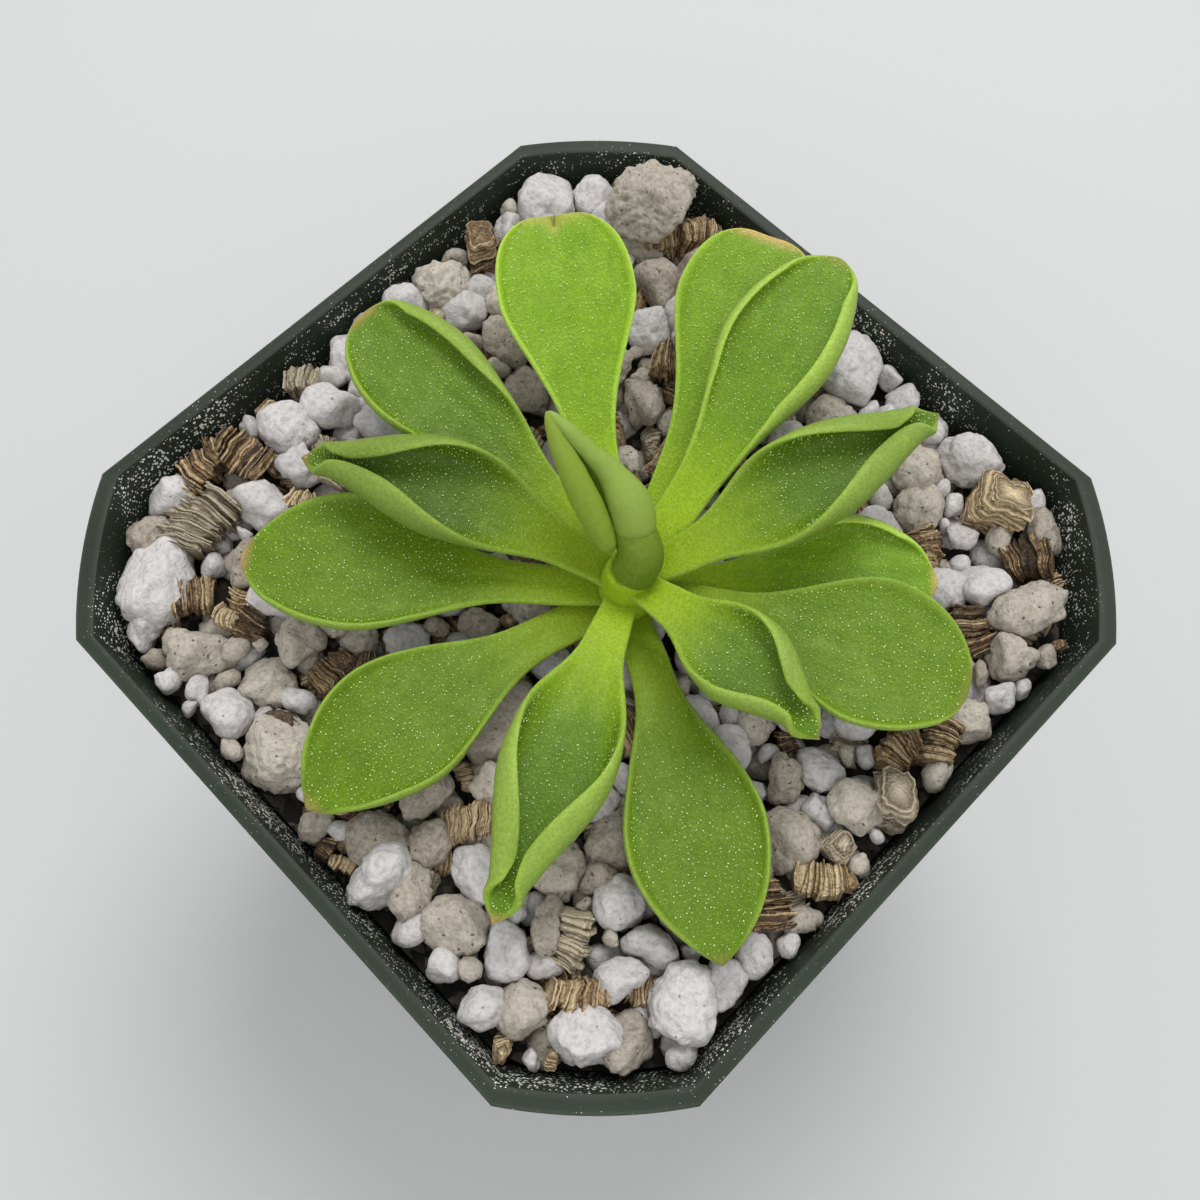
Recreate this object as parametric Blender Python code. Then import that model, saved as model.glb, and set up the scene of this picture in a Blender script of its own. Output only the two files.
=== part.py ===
"""A butterwort growing in a square nursery pot with rounded-off corners.

The pot's flat sides face X and Y, and the origin is the middle of its underside, with +Z up.
Sizes are in millimetres, and points become metres when a mesh is made from them.
"""

import math
from dataclasses import dataclass

import bmesh
import bpy
import numpy as np

MM = 0.001

# Gap kept between pieces that touch on the real object
GAP = 0.3

# Pot: moulded plastic, square with corners cut by arcs about its axis
RIM_ACROSS = 88.0
POT_HEIGHT = 80.0
CORNER_RATIO = 1.221
DRAFT = math.tan(math.radians(9.0))
RIM_WALL = 1.6
BAND_HEIGHT = 9.0
BAND_STEP = 0.7
RIM_CHAMFER = 0.4
FLOOR = 2.2
FOOT_WIDTH = 5.0
FOOT_RECESS = 1.2
ARC_STEPS = 4
DRAIN_RADIUS = 4.0
DRAIN_REACH = 26.0

# Bed: mineral grit that fills the pot to a little below its rim
BED_TOP = 72.0
EDGE_RISE = 3.0
LEVEL_REACH = 8.0
EDGE_REACH = 38.0
BED_RINGS = (34.0, 26.0, 18.0, 10.0)
GRAIN_SEED = 11
GRAIN_TRIES = 1600
GRAIN_RADII = (3.0, 2.6, 2.2)
GRAIN_CLOSENESS = 0.80
SIDE_GAP = 0.35
WALL_CLEARANCE = 0.4
WALL_SHARE = 0.75

# Crown: the short stem that the leaves stand on, in a plain hole in the bed
CROWN_X = 4.6
CROWN_Y = -0.2
STEM_RADIUS = 2.0
CORE_RADIUS = 2.5
CORE_BASE = 75.7
CORE_TOP = 84.0
STEM_BASE = 60.0
ROUND_SIDES = 16

# Leaves: all ranks climb the crown by the same small rise
LOWEST_LEAF = 76.7
RANK_RISE = 0.52
ROOT_HALF_WIDTH = 1.8
NECK_HALF_WIDTH = 2.2
TIP_HALF_WIDTH = 0.5
MID_THICKNESS = 1.3
MARGIN_THICKNESS = 0.8
ROOT_THICKNESS = 1.0
TIGHTEST_ROLL = 0.95
DISH = 12.0
LEAF_ROWS = 10
ROW_CROWDING = 1.35
LEAF_COLUMNS = (0.0, 0.32, 0.6, 0.82, 1.0)
FINE_STEPS = 100
BLADE_START = 0.10
CLOSING_START = 0.55

# Young leaf: fleshy tubes through stations of place and radius
YOUNG_RINGS = 9
YOUNG_SIDES = 10


@dataclass(frozen=True)
class Leaf:
    """One leaf, in millimetres and degrees. Left is the anticlockwise side, seen from above."""

    name: str
    azimuth: float
    length: float
    half_width: float
    rank: float
    rise: float
    droop: float
    sway: float = 0.0
    curl_left: float = 60.0
    curl_right: float = 60.0
    rolled_left: float = 0.25
    rolled_right: float = 0.25
    curl_start: float = 0.25
    curl_full: float = 0.55
    widest: float = 0.7
    bluntness: float = 0.6
    notch: float = 0.0
    closing: float = 0.0


LEAVES = (
    Leaf("leaf_01", 148.5, 38.5, 7.9, 4.0, 18, 6, -4, curl_left=80, widest=0.76, bluntness=0.34,
         notch=1.4),
    Leaf("leaf_02", 113, 40.0, 7.6, 0.6, 16, 6, curl_left=45, curl_right=15,
         widest=0.78, bluntness=0.36),
    Leaf("leaf_03", 99, 38.0, 7.8, 8.0, 23, 17, 4, curl_left=130, curl_right=165,
         rolled_left=0.4, rolled_right=0.5, widest=0.7, bluntness=0.7),
    Leaf("leaf_04", 66, 33.5, 7.8, 10.6, 24, 30, 13, curl_left=185, curl_right=188,
         rolled_left=0.66, rolled_right=0.7, curl_start=0.15, curl_full=0.8, widest=0.6, bluntness=1.05,
         closing=40),
    Leaf("leaf_05", 48.5, 29.0, 8.2, 3.0, 13, 12, -8, curl_left=150, curl_right=25,
         rolled_left=0.42, curl_full=0.6, widest=0.7, bluntness=0.8),
    Leaf("leaf_06", 27, 32.5, 8.1, 5.8, 18, 19, -7, curl_left=60, curl_right=85,
         widest=0.7, bluntness=0.5),
    Leaf("leaf_07", 3, 22.5, 6.4, 13.2, 22, 24, -8, curl_left=180, curl_right=145, rolled_left=0.62,
         rolled_right=0.5, curl_start=0.12, curl_full=0.75, widest=0.6, bluntness=1.1, closing=50),
    Leaf("leaf_08", -29, 36.0, 7.5, 0.0, 14.5, 14, -7, curl_left=90, curl_right=90,
         widest=0.67, bluntness=0.85),
    Leaf("leaf_09", -63, 34.0, 8.0, 9.0, 18, 23, -4, curl_left=180, curl_right=190, rolled_left=0.6,
         rolled_right=0.66, curl_start=0.12, curl_full=0.8, widest=0.6, bluntness=1.05, closing=45),
    Leaf("leaf_10", -105.5, 36.2, 7.8, 1.4, 14, 14, 17, curl_left=95, curl_right=80,
         widest=0.7, bluntness=0.85, closing=20),
    Leaf("leaf_11", 226, 36.5, 7.9, 4.7, 16, 17, -7, curl_left=95, curl_right=40, rolled_left=0.3,
         widest=0.7, bluntness=0.7),
    Leaf("leaf_12", 201.5, 32.5, 7.8, 10.2, 24, 29, 11, curl_left=183, curl_right=188,
         rolled_left=0.65, rolled_right=0.7, curl_start=0.12, curl_full=0.8, widest=0.6, bluntness=1.0,
         closing=40),
    Leaf("leaf_13", 178, 37.5, 7.9, 7.4, 18, 17, 5, curl_left=100, rolled_left=0.3, curl_right=175,
         rolled_right=0.52, curl_start=0.3, curl_full=0.7, widest=0.72, bluntness=0.58),
)

# The young leaf's stalk and its two rolled lobes, each from its lower end: x, y, z and radius
YOUNG_STALK = (
    (5.1, -0.5, 84.3, 2.2), (5.1, 0.4, 85.6, 2.3), (4.8, 1.2, 86.8, 2.3), (3.4, 1.9, 87.8, 2.15),
    (0.5, 2.6, 88.9, 1.9), (-2.9, 3.2, 90.6, 1.45), (-5.9, 3.0, 93.4, 0.8), (-7.8, 2.4, 95.6, 0.4),
)
YOUNG_LEFT_LOBE = (
    (2.9, -1.0, 87.6, 0.4), (2.1, -0.8, 88.2, 1.0), (0.2, -0.4, 89.9, 1.4), (-3.1, 0.3, 92.8, 1.4),
    (-6.2, 1.0, 95.3, 0.95), (-8.7, 1.9, 97.2, 0.35),
)
YOUNG_RIGHT_LOBE = (
    (3.6, 1.8, 87.8, 1.6), (2.7, 2.4, 88.8, 2.15), (0.8, 3.2, 90.5, 2.1), (-1.9, 3.4, 92.3, 1.35),
    (-4.1, 2.9, 94.0, 0.95), (-6.3, 2.4, 95.8, 0.75), (-8.6, 2.0, 97.2, 0.35),
)


@dataclass(frozen=True)
class Grain:
    """One grain: where it lies, its middle's lift above the bed, its half sizes and its turn."""

    kind: str
    x: float
    y: float
    lift: float
    long: float
    wide: float
    high: float
    turn: float


LARGE_GRAINS = (
    Grain("pumice", -27.0, 35.0, 0.2, 5.0, 4.2, 3.6, 10),
    Grain("pumice", -27.0, 36.6, 4.8, 5.4, 4.6, 4.0, 44),
    Grain("perlite", -38.0, 29.0, 1.8, 4.2, 3.4, 3.6, 140),
    Grain("perlite", -34.5, 33.5, 1.1, 2.8, 2.6, 3.0, 0),
    Grain("perlite", -32.0, -34.5, 1.8, 5.2, 4.2, 4.0, 120),
    Grain("pumice", -8.0, -38.0, 1.5, 4.9, 4.2, 4.0, 20),
    Grain("perlite", 8.0, -38.5, 1.5, 3.7, 3.2, 3.4, 44),
    Grain("perlite", 37.0, -25.0, 1.5, 3.9, 3.6, 3.6, 100),
    Grain("perlite", 32.5, -34.0, 1.5, 3.7, 3.0, 3.2, 44),
    Grain("perlite", -36.0, -12.5, 1.5, 3.7, 3.0, 3.2, 30),
    Grain("pumice", -38.0, 12.0, 1.1, 3.5, 3.2, 3.2, 44),
    Grain("perlite", -39.5, 7.0, 1.1, 3.2, 2.5, 3.0, 120),
    Grain("perlite", 3.0, 37.5, 1.8, 4.4, 3.8, 3.8, 130),
    Grain("perlite", 20.0, 38.5, 1.1, 3.6, 3.1, 3.2, 30),
    Grain("pumice", 35.5, 29.0, 1.8, 4.9, 2.6, 2.8, 66),
    Grain("pumice", 37.5, 23.5, 1.1, 2.9, 2.4, 2.6, 30),
    Grain("pumice", 36.5, 0.5, 1.1, 3.1, 2.7, 3.0, 20),
    Grain("pumice", 29.5, -2.5, 1.1, 2.8, 2.0, 2.6, 134),
    Grain("pumice", 4.5, -18.5, 0.6, 5.2, 4.5, 3.4, 120),
    Grain("pumice", 26.5, -36.5, 1.1, 3.2, 2.8, 3.0, 120),
    Grain("pumice", 35.5, -31.5, 0.8, 3.2, 2.8, 3.0, 80),
    Grain("perlite", 24.0, -39.0, 1.1, 2.3, 2.2, 2.6, 44),
    Grain("vermiculite", -34.0, -26.5, 1.5, 4.6, 3.8, 3.4, 100),
    Grain("vermiculite", 29.5, -32.0, 1.5, 3.2, 1.9, 2.6, 46),
    Grain("vermiculite", 25.5, 36.0, 1.8, 3.6, 3.4, 3.0, 20),
    Grain("vermiculite", -37.0, -18.5, 1.8, 3.6, 2.6, 3.0, 10),
    Grain("vermiculite", -38.5, -22.5, 1.8, 3.2, 2.4, 2.8, 100),
    Grain("vermiculite", -39.5, -7.5, 1.1, 2.1, 1.8, 2.6, 44),
    Grain("vermiculite", -38.5, 19.0, 1.5, 3.0, 2.1, 2.8, 150),
    Grain("vermiculite", -24.5, 34.5, 1.5, 2.8, 2.3, 2.6, 44),
    Grain("vermiculite", -22.0, 38.5, 1.5, 2.8, 2.6, 2.8, 44),
    Grain("vermiculite", 38.5, -7.5, 1.1, 3.1, 2.0, 2.6, 40),
    Grain("vermiculite", 38.5, 3.0, 1.5, 3.6, 2.2, 3.0, 120),
    Grain("vermiculite", 38.0, 11.5, 1.1, 2.9, 2.2, 2.8, 110),
    Grain("vermiculite", 32.0, 33.5, 1.5, 2.9, 2.5, 2.8, 44),
    Grain("vermiculite", -28.0, -33.0, 0.8, 2.9, 2.3, 2.6, 60),
    Grain("vermiculite", -10.0, -35.0, 0.8, 2.4, 2.0, 2.6, 10),
    Grain("vermiculite", 25.5, -28.5, 1.1, 3.1, 2.0, 2.6, 120),
    Grain("perlite", 30.5, 28.0, 1.1, 2.9, 2.6, 2.8, 44),
    Grain("pumice", 31.0, 37.0, 1.1, 3.0, 2.4, 2.8, 110),
    Grain("perlite", 38.5, -21.5, 1.1, 3.1, 2.2, 2.8, 100),
    Grain("perlite", 31.0, -23.5, 1.1, 3.1, 2.2, 2.6, 20),
    Grain("pumice", -23.0, -36.0, 1.1, 3.8, 3.2, 3.0, 60),
    Grain("perlite", -31.0, -20.5, 1.5, 3.4, 3.0, 3.0, 44),
    Grain("perlite", -38.5, -27.0, 1.1, 3.6, 2.2, 2.8, 60),
    Grain("pumice", -37.5, -32.5, 1.1, 2.7, 2.4, 2.8, 44),
    Grain("perlite", -35.0, -7.5, 1.1, 3.5, 2.9, 3.0, 50),
    Grain("perlite", -33.5, 11.5, 1.1, 2.9, 2.5, 2.8, 44),
    Grain("pumice", -11.0, 18.5, 0.8, 3.6, 2.4, 3.0, 134),
    Grain("perlite", -30.0, 32.5, 1.1, 3.8, 3.0, 3.2, 120),
    Grain("pumice", 11.0, -36.5, 0.8, 3.1, 2.3, 2.8, 120),
    Grain("pumice", 5.0, -35.5, 0.8, 3.6, 2.7, 2.8, 44),
    Grain("perlite", -15.5, -38.0, 1.1, 3.2, 2.5, 2.8, 20),
    Grain("perlite", -28.5, -38.5, 1.1, 2.6, 2.0, 2.6, 134),
    Grain("perlite", 22.0, -34.0, 0.8, 3.1, 2.5, 2.8, 134),
    Grain("pumice", 23.0, -29.5, 0.8, 3.4, 1.8, 2.8, 134),
)


def smooth_step(x, start, end):
    """Rises from 0 at start to 1 at end, level at both."""
    t = np.clip((x - start) / (end - start), 0.0, 1.0)
    return t * t * (3.0 - 2.0 * t)


def principled(name, colour, roughness, metallic=0.0):
    """A material of one Principled BSDF, from a linear RGB colour."""
    material = bpy.data.materials.new(name)
    material.use_nodes = True
    shader = material.node_tree.nodes["Principled BSDF"]
    shader.inputs["Base Color"].default_value = (*colour, 1.0)
    shader.inputs["Roughness"].default_value = roughness
    shader.inputs["Metallic"].default_value = metallic
    material.diffuse_color = (*colour, 1.0)
    return material


def mesh_object(name, points, faces, material, collection=None):
    """An object in metres, from points in millimetres and faces that wind anticlockwise outside."""
    mesh = bpy.data.meshes.new(name)
    mesh.from_pydata((np.asarray(points) * MM).tolist(), [], faces)
    mesh.materials.append(material)
    mesh.validate()
    piece = bpy.data.objects.new(name, mesh)
    (collection or bpy.context.scene.collection).objects.link(piece)
    return piece


def apply_modifiers(piece):
    """Gives the piece the mesh that its modifiers make, and takes the modifiers off."""
    graph = bpy.context.evaluated_depsgraph_get()
    mesh = bpy.data.meshes.new_from_object(piece.evaluated_get(graph))
    piece.modifiers.clear()
    piece.data = mesh


def pot_outline(half, height):
    """The pot's plan at one height: four flats joined by arcs about the axis, anticlockwise."""
    radius = half * CORNER_RATIO
    start = math.acos(half / radius)
    corner = np.linspace(start, math.pi / 2 - start, ARC_STEPS + 1)
    angles = np.concatenate([corner + quarter * math.pi / 2 for quarter in range(4)])
    heights = np.full(len(angles), height)
    return np.column_stack([radius * np.cos(angles), radius * np.sin(angles), heights])


def loft(name, rings, material):
    """A closed solid through rings of equal count, ordered from its first cap to its last."""
    count = len(rings[0])
    faces = []
    for level in range(len(rings) - 1):
        low = level * count
        for i in range(count):
            j = (i + 1) % count
            faces.append((low + i, low + j, low + count + j, low + count + i))
    last = (len(rings) - 1) * count
    faces.append(tuple(reversed(range(count))))
    faces.append(tuple(range(last, last + count)))
    return mesh_object(name, np.vstack(rings), faces, material)


def inner_half(height):
    """Half the pot's inside width across its flats at a height."""
    return RIM_ACROSS / 2 - RIM_WALL - (POT_HEIGHT - height) * DRAFT


def outer_half(height):
    """Half the pot's outside width across its flats, below the rim band."""
    return RIM_ACROSS / 2 - BAND_STEP - (POT_HEIGHT - height) * DRAFT


def cylinder(name, x, y, radius, low, high, material):
    """An upright cylinder between two heights."""
    turn = np.arange(ROUND_SIDES) * 2 * math.pi / ROUND_SIDES
    plan = np.column_stack([x + radius * np.cos(turn), y + radius * np.sin(turn)])
    rings = [np.column_stack([plan, np.full(ROUND_SIDES, z)]) for z in (low, high)]
    piece = loft(name, rings, material)
    piece.hide_render = True
    piece.display_type = "WIRE"
    return piece


def cut(piece, cutters):
    """Takes each cutter out of the piece, and removes the cutters."""
    for cutter in cutters:
        modifier = piece.modifiers.new("cut", "BOOLEAN")
        modifier.operation = "DIFFERENCE"
        modifier.object = cutter
    apply_modifiers(piece)
    for cutter in cutters:
        bpy.data.objects.remove(cutter)


def build_pot(material):
    """The pot: a tapered shell with a rim band, a recessed foot and drain holes."""
    foot = outer_half(0.0)
    ledge = POT_HEIGHT - BAND_HEIGHT
    edge = RIM_ACROSS / 2
    rings = [
        pot_outline(foot - FOOT_WIDTH, FOOT_RECESS),
        pot_outline(foot - FOOT_WIDTH, 0.0),
        pot_outline(foot, 0.0),
        pot_outline(outer_half(ledge), ledge),
        pot_outline(edge - RIM_CHAMFER, ledge),
        pot_outline(edge, ledge + RIM_CHAMFER),
        pot_outline(edge, POT_HEIGHT - RIM_CHAMFER),
        pot_outline(edge - RIM_CHAMFER, POT_HEIGHT),
        pot_outline(inner_half(POT_HEIGHT), POT_HEIGHT),
        pot_outline(inner_half(FLOOR), FLOOR),
    ]
    pot = loft("pot", rings, material)
    spots = [(0.0, 0.0)]
    for quarter in range(4):
        angle = math.radians(45 + 90 * quarter)
        spots.append((DRAIN_REACH * math.cos(angle), DRAIN_REACH * math.sin(angle)))
    drains = [cylinder("drain", x, y, DRAIN_RADIUS, -1.0, FLOOR + 1.0, material) for x, y in spots]
    cut(pot, drains)
    return pot


def wall_room(x, y, height):
    """How far a point inside the pot is from its inner wall, at a height."""
    half = inner_half(height)
    return min(half - max(abs(x), abs(y)), half * CORNER_RATIO - math.hypot(x, y))


def bed_height(x, y):
    """Height of the fill under the grains: level round the crown, and rising towards the wall."""
    away = np.hypot(np.subtract(x, CROWN_X), np.subtract(y, CROWN_Y))
    return BED_TOP + EDGE_RISE * smooth_step(away, LEVEL_REACH, EDGE_REACH)


def scatter_grains(rng):
    """The large grains, then a seeded fill of smaller ones wherever each has room, largest first."""
    grains = list(LARGE_GRAINS)
    reach = inner_half(BED_TOP)
    for radius in GRAIN_RADII:
        for x, y in rng.uniform(-reach, reach, (GRAIN_TRIES, 2)):
            size = radius * rng.uniform(0.9, 1.12)
            stretch = rng.uniform(0.82, 1.0)
            turn = rng.uniform(0.0, 360.0)
            lift = rng.uniform(-0.6, 0.6) + 0.3 * size
            kind = rng.choice(("perlite", "pumice", "vermiculite"), p=(0.48, 0.32, 0.20))
            if wall_room(x, y, BED_TOP + EDGE_RISE) < WALL_SHARE * size + WALL_CLEARANCE:
                continue
            if math.hypot(x - CROWN_X, y - CROWN_Y) < size + STEM_RADIUS + GAP:
                continue
            nearest = min(
                math.hypot(x - g.x, y - g.y) - GRAIN_CLOSENESS * (size + (g.long + g.wide) / 2)
                for g in grains
            )
            if nearest > 0.0:
                grains.append(Grain(kind, x, y, lift, size, size * stretch, size * 0.85, turn))
    return grains


def settle(points):
    """Moves a grain's points in from the pot's wall until every one of them is clear of it."""
    room = inner_half(points[:, 2]) - WALL_CLEARANCE
    for axis in (0, 1):
        side = math.copysign(1.0, points[:, axis].mean())
        points[:, axis] -= side * max(0.0, float((side * points[:, axis] - room).max()))
    reach = np.hypot(points[:, 0], points[:, 1])
    over = max(0.0, float((reach - room * CORNER_RATIO).max()))
    middle = points[:, :2].mean(axis=0)
    points[:, :2] -= over * middle / np.linalg.norm(middle)
    return points


def grain_object(grain, index, rng, materials, collection):
    """A low-poly grain: a jittered ball for perlite and pumice, a slab-sided block for vermiculite."""
    mesh = bmesh.new()
    if grain.kind == "vermiculite":
        bmesh.ops.create_cube(mesh, size=1.55)
        jitter = 0.06
    else:
        bmesh.ops.create_icosphere(mesh, subdivisions=1, radius=1.08)
        jitter = 0.10 if grain.kind == "perlite" else 0.15
    points = np.array([vertex.co for vertex in mesh.verts])
    faces = [tuple(vertex.index for vertex in face.verts) for face in mesh.faces]
    mesh.free()
    points += rng.uniform(-jitter, jitter, points.shape)
    points *= (grain.long, grain.wide, grain.high)
    turn, tilt = math.radians(grain.turn), rng.uniform(-0.3, 0.3)
    c, s = math.cos(tilt), math.sin(tilt)
    points = points @ np.array([[c, 0, -s], [0, 1, 0], [s, 0, c]])
    c, s = math.cos(turn), math.sin(turn)
    points = points @ np.array([[c, s, 0], [-s, c, 0], [0, 0, 1]])
    height = bed_height(grain.x, grain.y) + grain.lift
    points = settle(points + (grain.x, grain.y, height))
    return mesh_object(f"grain_{index}", points, faces, materials[grain.kind], collection)


def drop_loose_shells(piece):
    """Keeps only the largest connected shell of a mesh, so no sealed hollow or scrap is left."""
    mesh = bmesh.new()
    mesh.from_mesh(piece.data)
    unseen = set(mesh.verts)
    shells = []
    while unseen:
        shell = {unseen.pop()}
        front = list(shell)
        while front:
            near = {edge.other_vert(v) for v in front for edge in v.link_edges} - shell
            shell |= near
            front = list(near)
        unseen -= shell
        shells.append(shell)
    shells.sort(key=len)
    for shell in shells[:-1]:
        bmesh.ops.delete(mesh, geom=list(shell), context="VERTS")
    mesh.to_mesh(piece.data)
    mesh.free()


def build_bed(materials):
    """The grit bed: one fill of the pot with every grain of its surface fused to it."""
    rim_level = BED_TOP + EDGE_RISE
    rings = [pot_outline(inner_half(z) - SIDE_GAP, z) for z in (FLOOR + GAP, rim_level)]
    for half in BED_RINGS:
        ring = pot_outline(half, 0.0)
        ring[:, 2] = bed_height(ring[:, 0], ring[:, 1])
        rings.append(ring)
    bed = loft("bed", rings, materials["pumice"])
    rng = np.random.default_rng(GRAIN_SEED)
    grains = scatter_grains(rng)
    heap = bpy.data.collections.new("grains")
    bpy.context.scene.collection.children.link(heap)
    for index, grain in enumerate(grains):
        grain_object(grain, index, rng, materials, heap)
    fuse = bed.modifiers.new("fuse", "BOOLEAN")
    fuse.operation = "UNION"
    fuse.operand_type = "COLLECTION"
    fuse.collection = heap
    apply_modifiers(bed)
    for piece in list(heap.objects):
        bpy.data.objects.remove(piece)
    bpy.data.collections.remove(heap)
    hole = cylinder(
        "hole", CROWN_X, CROWN_Y, STEM_RADIUS + GAP + 0.05, STEM_BASE - GAP, POT_HEIGHT,
        materials["pumice"],
    )
    cut(bed, [hole])
    drop_loose_shells(bed)
    return bed


def build_crown(material):
    """The crown: a short stem with a thicker core, which the leaf bases stand round."""
    profile = (
        (1.0, STEM_BASE),
        (STEM_RADIUS, STEM_BASE + 3.0),
        (STEM_RADIUS, CORE_BASE - 0.8),
        (CORE_RADIUS, CORE_BASE),
        (CORE_RADIUS, CORE_TOP - 0.5),
        (CORE_RADIUS - 0.5, CORE_TOP),
    )
    turn = np.arange(ROUND_SIDES) * 2 * math.pi / ROUND_SIDES
    rings = []
    for radius, z in profile:
        x = CROWN_X + radius * np.cos(turn)
        y = CROWN_Y + radius * np.sin(turn)
        rings.append(np.column_stack([x, y, np.full(ROUND_SIDES, z)]))
    return loft("crown", rings, material)


def leaf_half_width(leaf, along):
    """Spoon outline: a sine arch for the blade, its peak moved to the widest place, and a neck."""
    t = np.clip((along - BLADE_START) / (1.0 - BLADE_START), 1e-6, 1.0)
    peak = (leaf.widest - BLADE_START) / (1.0 - BLADE_START)
    phase = t ** (math.log(0.5) / math.log(peak))
    power = np.where(phase > 0.5, leaf.bluntness, 1.25)
    blade = leaf.half_width * np.clip(np.sin(math.pi * phase), 0.0, 1.0) ** power
    opening = smooth_step(along, 0.0, 0.16)
    neck = ROOT_HALF_WIDTH + (NECK_HALF_WIDTH - ROOT_HALF_WIDTH) * opening
    neck = neck * (1.0 - smooth_step(along, 0.5, 1.0))
    return np.maximum(np.hypot(blade, neck), TIP_HALF_WIDTH)


def half_section(width, curl, rolled, fine, ramp, fold):
    """Half of each cross-section as an arc length that turns upwards towards the margin.

    It first turns evenly through a shallow dish, then through its curl over the rolled share next
    to the margin, but never tighter than the tightest roll. Beside the midrib it also turns by the
    fold that closes the leaf's tip. Returns the way out, the lift and the angle at each fine step.
    """
    limit = np.degrees(rolled * width / TIGHTEST_ROLL) * 0.9
    turn = np.minimum(10.0 + (curl - 10.0) * ramp, np.maximum(limit, 10.0))
    rolling = smooth_step(fine, 1.0 - 1.15 * rolled, 1.0 + 0.15 * rolled)
    angle = np.radians(DISH * fine + turn * rolling + fold * smooth_step(fine, 0.0, 0.3))
    out = np.cumsum(np.cos(angle), axis=1) * width / FINE_STEPS
    lift = np.cumsum(np.sin(angle), axis=1) * width / FINE_STEPS
    return out - out[:, :1], lift - lift[:, :1], angle


def leaf_surface(leaf):
    """Middle surface of a leaf and its normals, on a grid of rows along and columns across.

    The midrib starts at the leaf's rise and loses its droop evenly, so it is an arc, and it sways
    sideways in the same way. Rows lie closer together towards the tip.
    """
    fine = np.linspace(0.0, 1.0, FINE_STEPS + 1)
    slope = np.radians(leaf.rise - leaf.droop * fine)
    heading = np.radians(leaf.sway * fine)
    tangent = np.column_stack([
        np.cos(slope) * np.cos(heading), np.cos(slope) * np.sin(heading), np.sin(slope),
    ])
    steps = (tangent[1:] + tangent[:-1]) * leaf.length / (2 * FINE_STEPS)
    midrib = np.vstack([np.zeros(3), np.cumsum(steps, axis=0)])
    share = 1.0 - (1.0 - np.linspace(0.0, 1.0, LEAF_ROWS + 1)) ** ROW_CROWDING
    rows = np.round(share * FINE_STEPS).astype(int)
    along, tangent, midrib = fine[rows], tangent[rows], midrib[rows, None]
    across = np.column_stack([-np.sin(heading[rows]), np.cos(heading[rows]), 0.0 * along])
    up = np.cross(tangent, across)[:, None]
    across = across[:, None]

    width = leaf_half_width(leaf, along)[:, None]
    ramp = smooth_step(along, leaf.curl_start, leaf.curl_full)[:, None]
    fold = leaf.closing * smooth_step(along, CLOSING_START, 0.95)[:, None] * smooth_step(width, 1.2, 3.6)
    nick_fade = smooth_step(along, 0.8, 1.0)[:, None]
    columns = np.round(np.array(LEAF_COLUMNS) * FINE_STEPS).astype(int)
    sides = (
        (-1.0, leaf.curl_right, leaf.rolled_right, columns[:0:-1]),
        (1.0, leaf.curl_left, leaf.rolled_left, columns),
    )
    halves = []
    for side, curl, rolled, picked in sides:
        section = half_section(width, curl, rolled, fine, ramp, fold)
        out, lift, angle = (part[:, picked, None] for part in section)
        nick = leaf.notch * np.exp(-((fine[picked] / 0.2) ** 2)) * nick_fade
        points = midrib + side * out * across + lift * up - nick[..., None] * tangent[:, None]
        normals = np.cos(angle) * up - side * np.sin(angle) * across
        halves.append((points, normals))
    points, normals = (np.concatenate(pair, axis=1) for pair in zip(*halves))
    return clasp_core(along, tangent, points), normals


def clasp_core(along, tangent, points):
    """Bends the leaf's base back round the core, so that its end is an arc and not a straight cut."""
    radius = CORE_RADIUS + GAP
    sideways = np.clip(points[..., 1], -0.95 * radius, 0.95 * radius)
    hollow = radius - np.sqrt(radius**2 - sideways**2)
    return points - (hollow * (1.0 - along[:, None]) ** 8)[..., None] * tangent[:, None]


def leaf_object(leaf, material):
    """A closed blade: the middle surface moved half its thickness up and down, joined at the edge."""
    points, normals = leaf_surface(leaf)
    rows, columns = points.shape[:2]
    share = np.concatenate([-np.array(LEAF_COLUMNS)[:0:-1], LEAF_COLUMNS])
    body = ROOT_THICKNESS + (MID_THICKNESS - ROOT_THICKNESS) * np.linspace(0.0, 1.0, rows)[:, None] ** 0.5
    thick = MARGIN_THICKNESS + (body - MARGIN_THICKNESS) * (1.0 - share[None, :] ** 2)
    shift = normals * thick[..., None] / 2
    both = np.concatenate([(points + shift).reshape(-1, 3), (points - shift).reshape(-1, 3)])

    index = np.arange(rows * columns).reshape(rows, columns)
    a, b, c, d = index[:-1, :-1], index[1:, :-1], index[1:, 1:], index[:-1, 1:]
    top = np.concatenate([
        np.stack([a, b, c], axis=-1).reshape(-1, 3),
        np.stack([a, c, d], axis=-1).reshape(-1, 3),
    ])
    under = top[:, ::-1] + rows * columns
    loop = np.concatenate([index[:-1, 0], index[-1, :-1], index[:0:-1, -1], index[0, :0:-1]])
    after = np.roll(loop, -1)
    below, below_after = loop + rows * columns, after + rows * columns
    edge = np.concatenate([
        np.column_stack([after, loop, below]),
        np.column_stack([after, below, below_after]),
    ])
    faces = np.concatenate([top, under, edge])

    both[:, 0] += CORE_RADIUS + GAP + ROOT_THICKNESS / 2 * math.sin(math.radians(leaf.rise))
    angle = math.radians(leaf.azimuth)
    c, s = math.cos(angle), math.sin(angle)
    both = both @ np.array([[c, s, 0], [-s, c, 0], [0, 0, 1]])
    both += (CROWN_X, CROWN_Y, LOWEST_LEAF + RANK_RISE * leaf.rank)
    return mesh_object(leaf.name, both, faces.tolist(), material)


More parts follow.
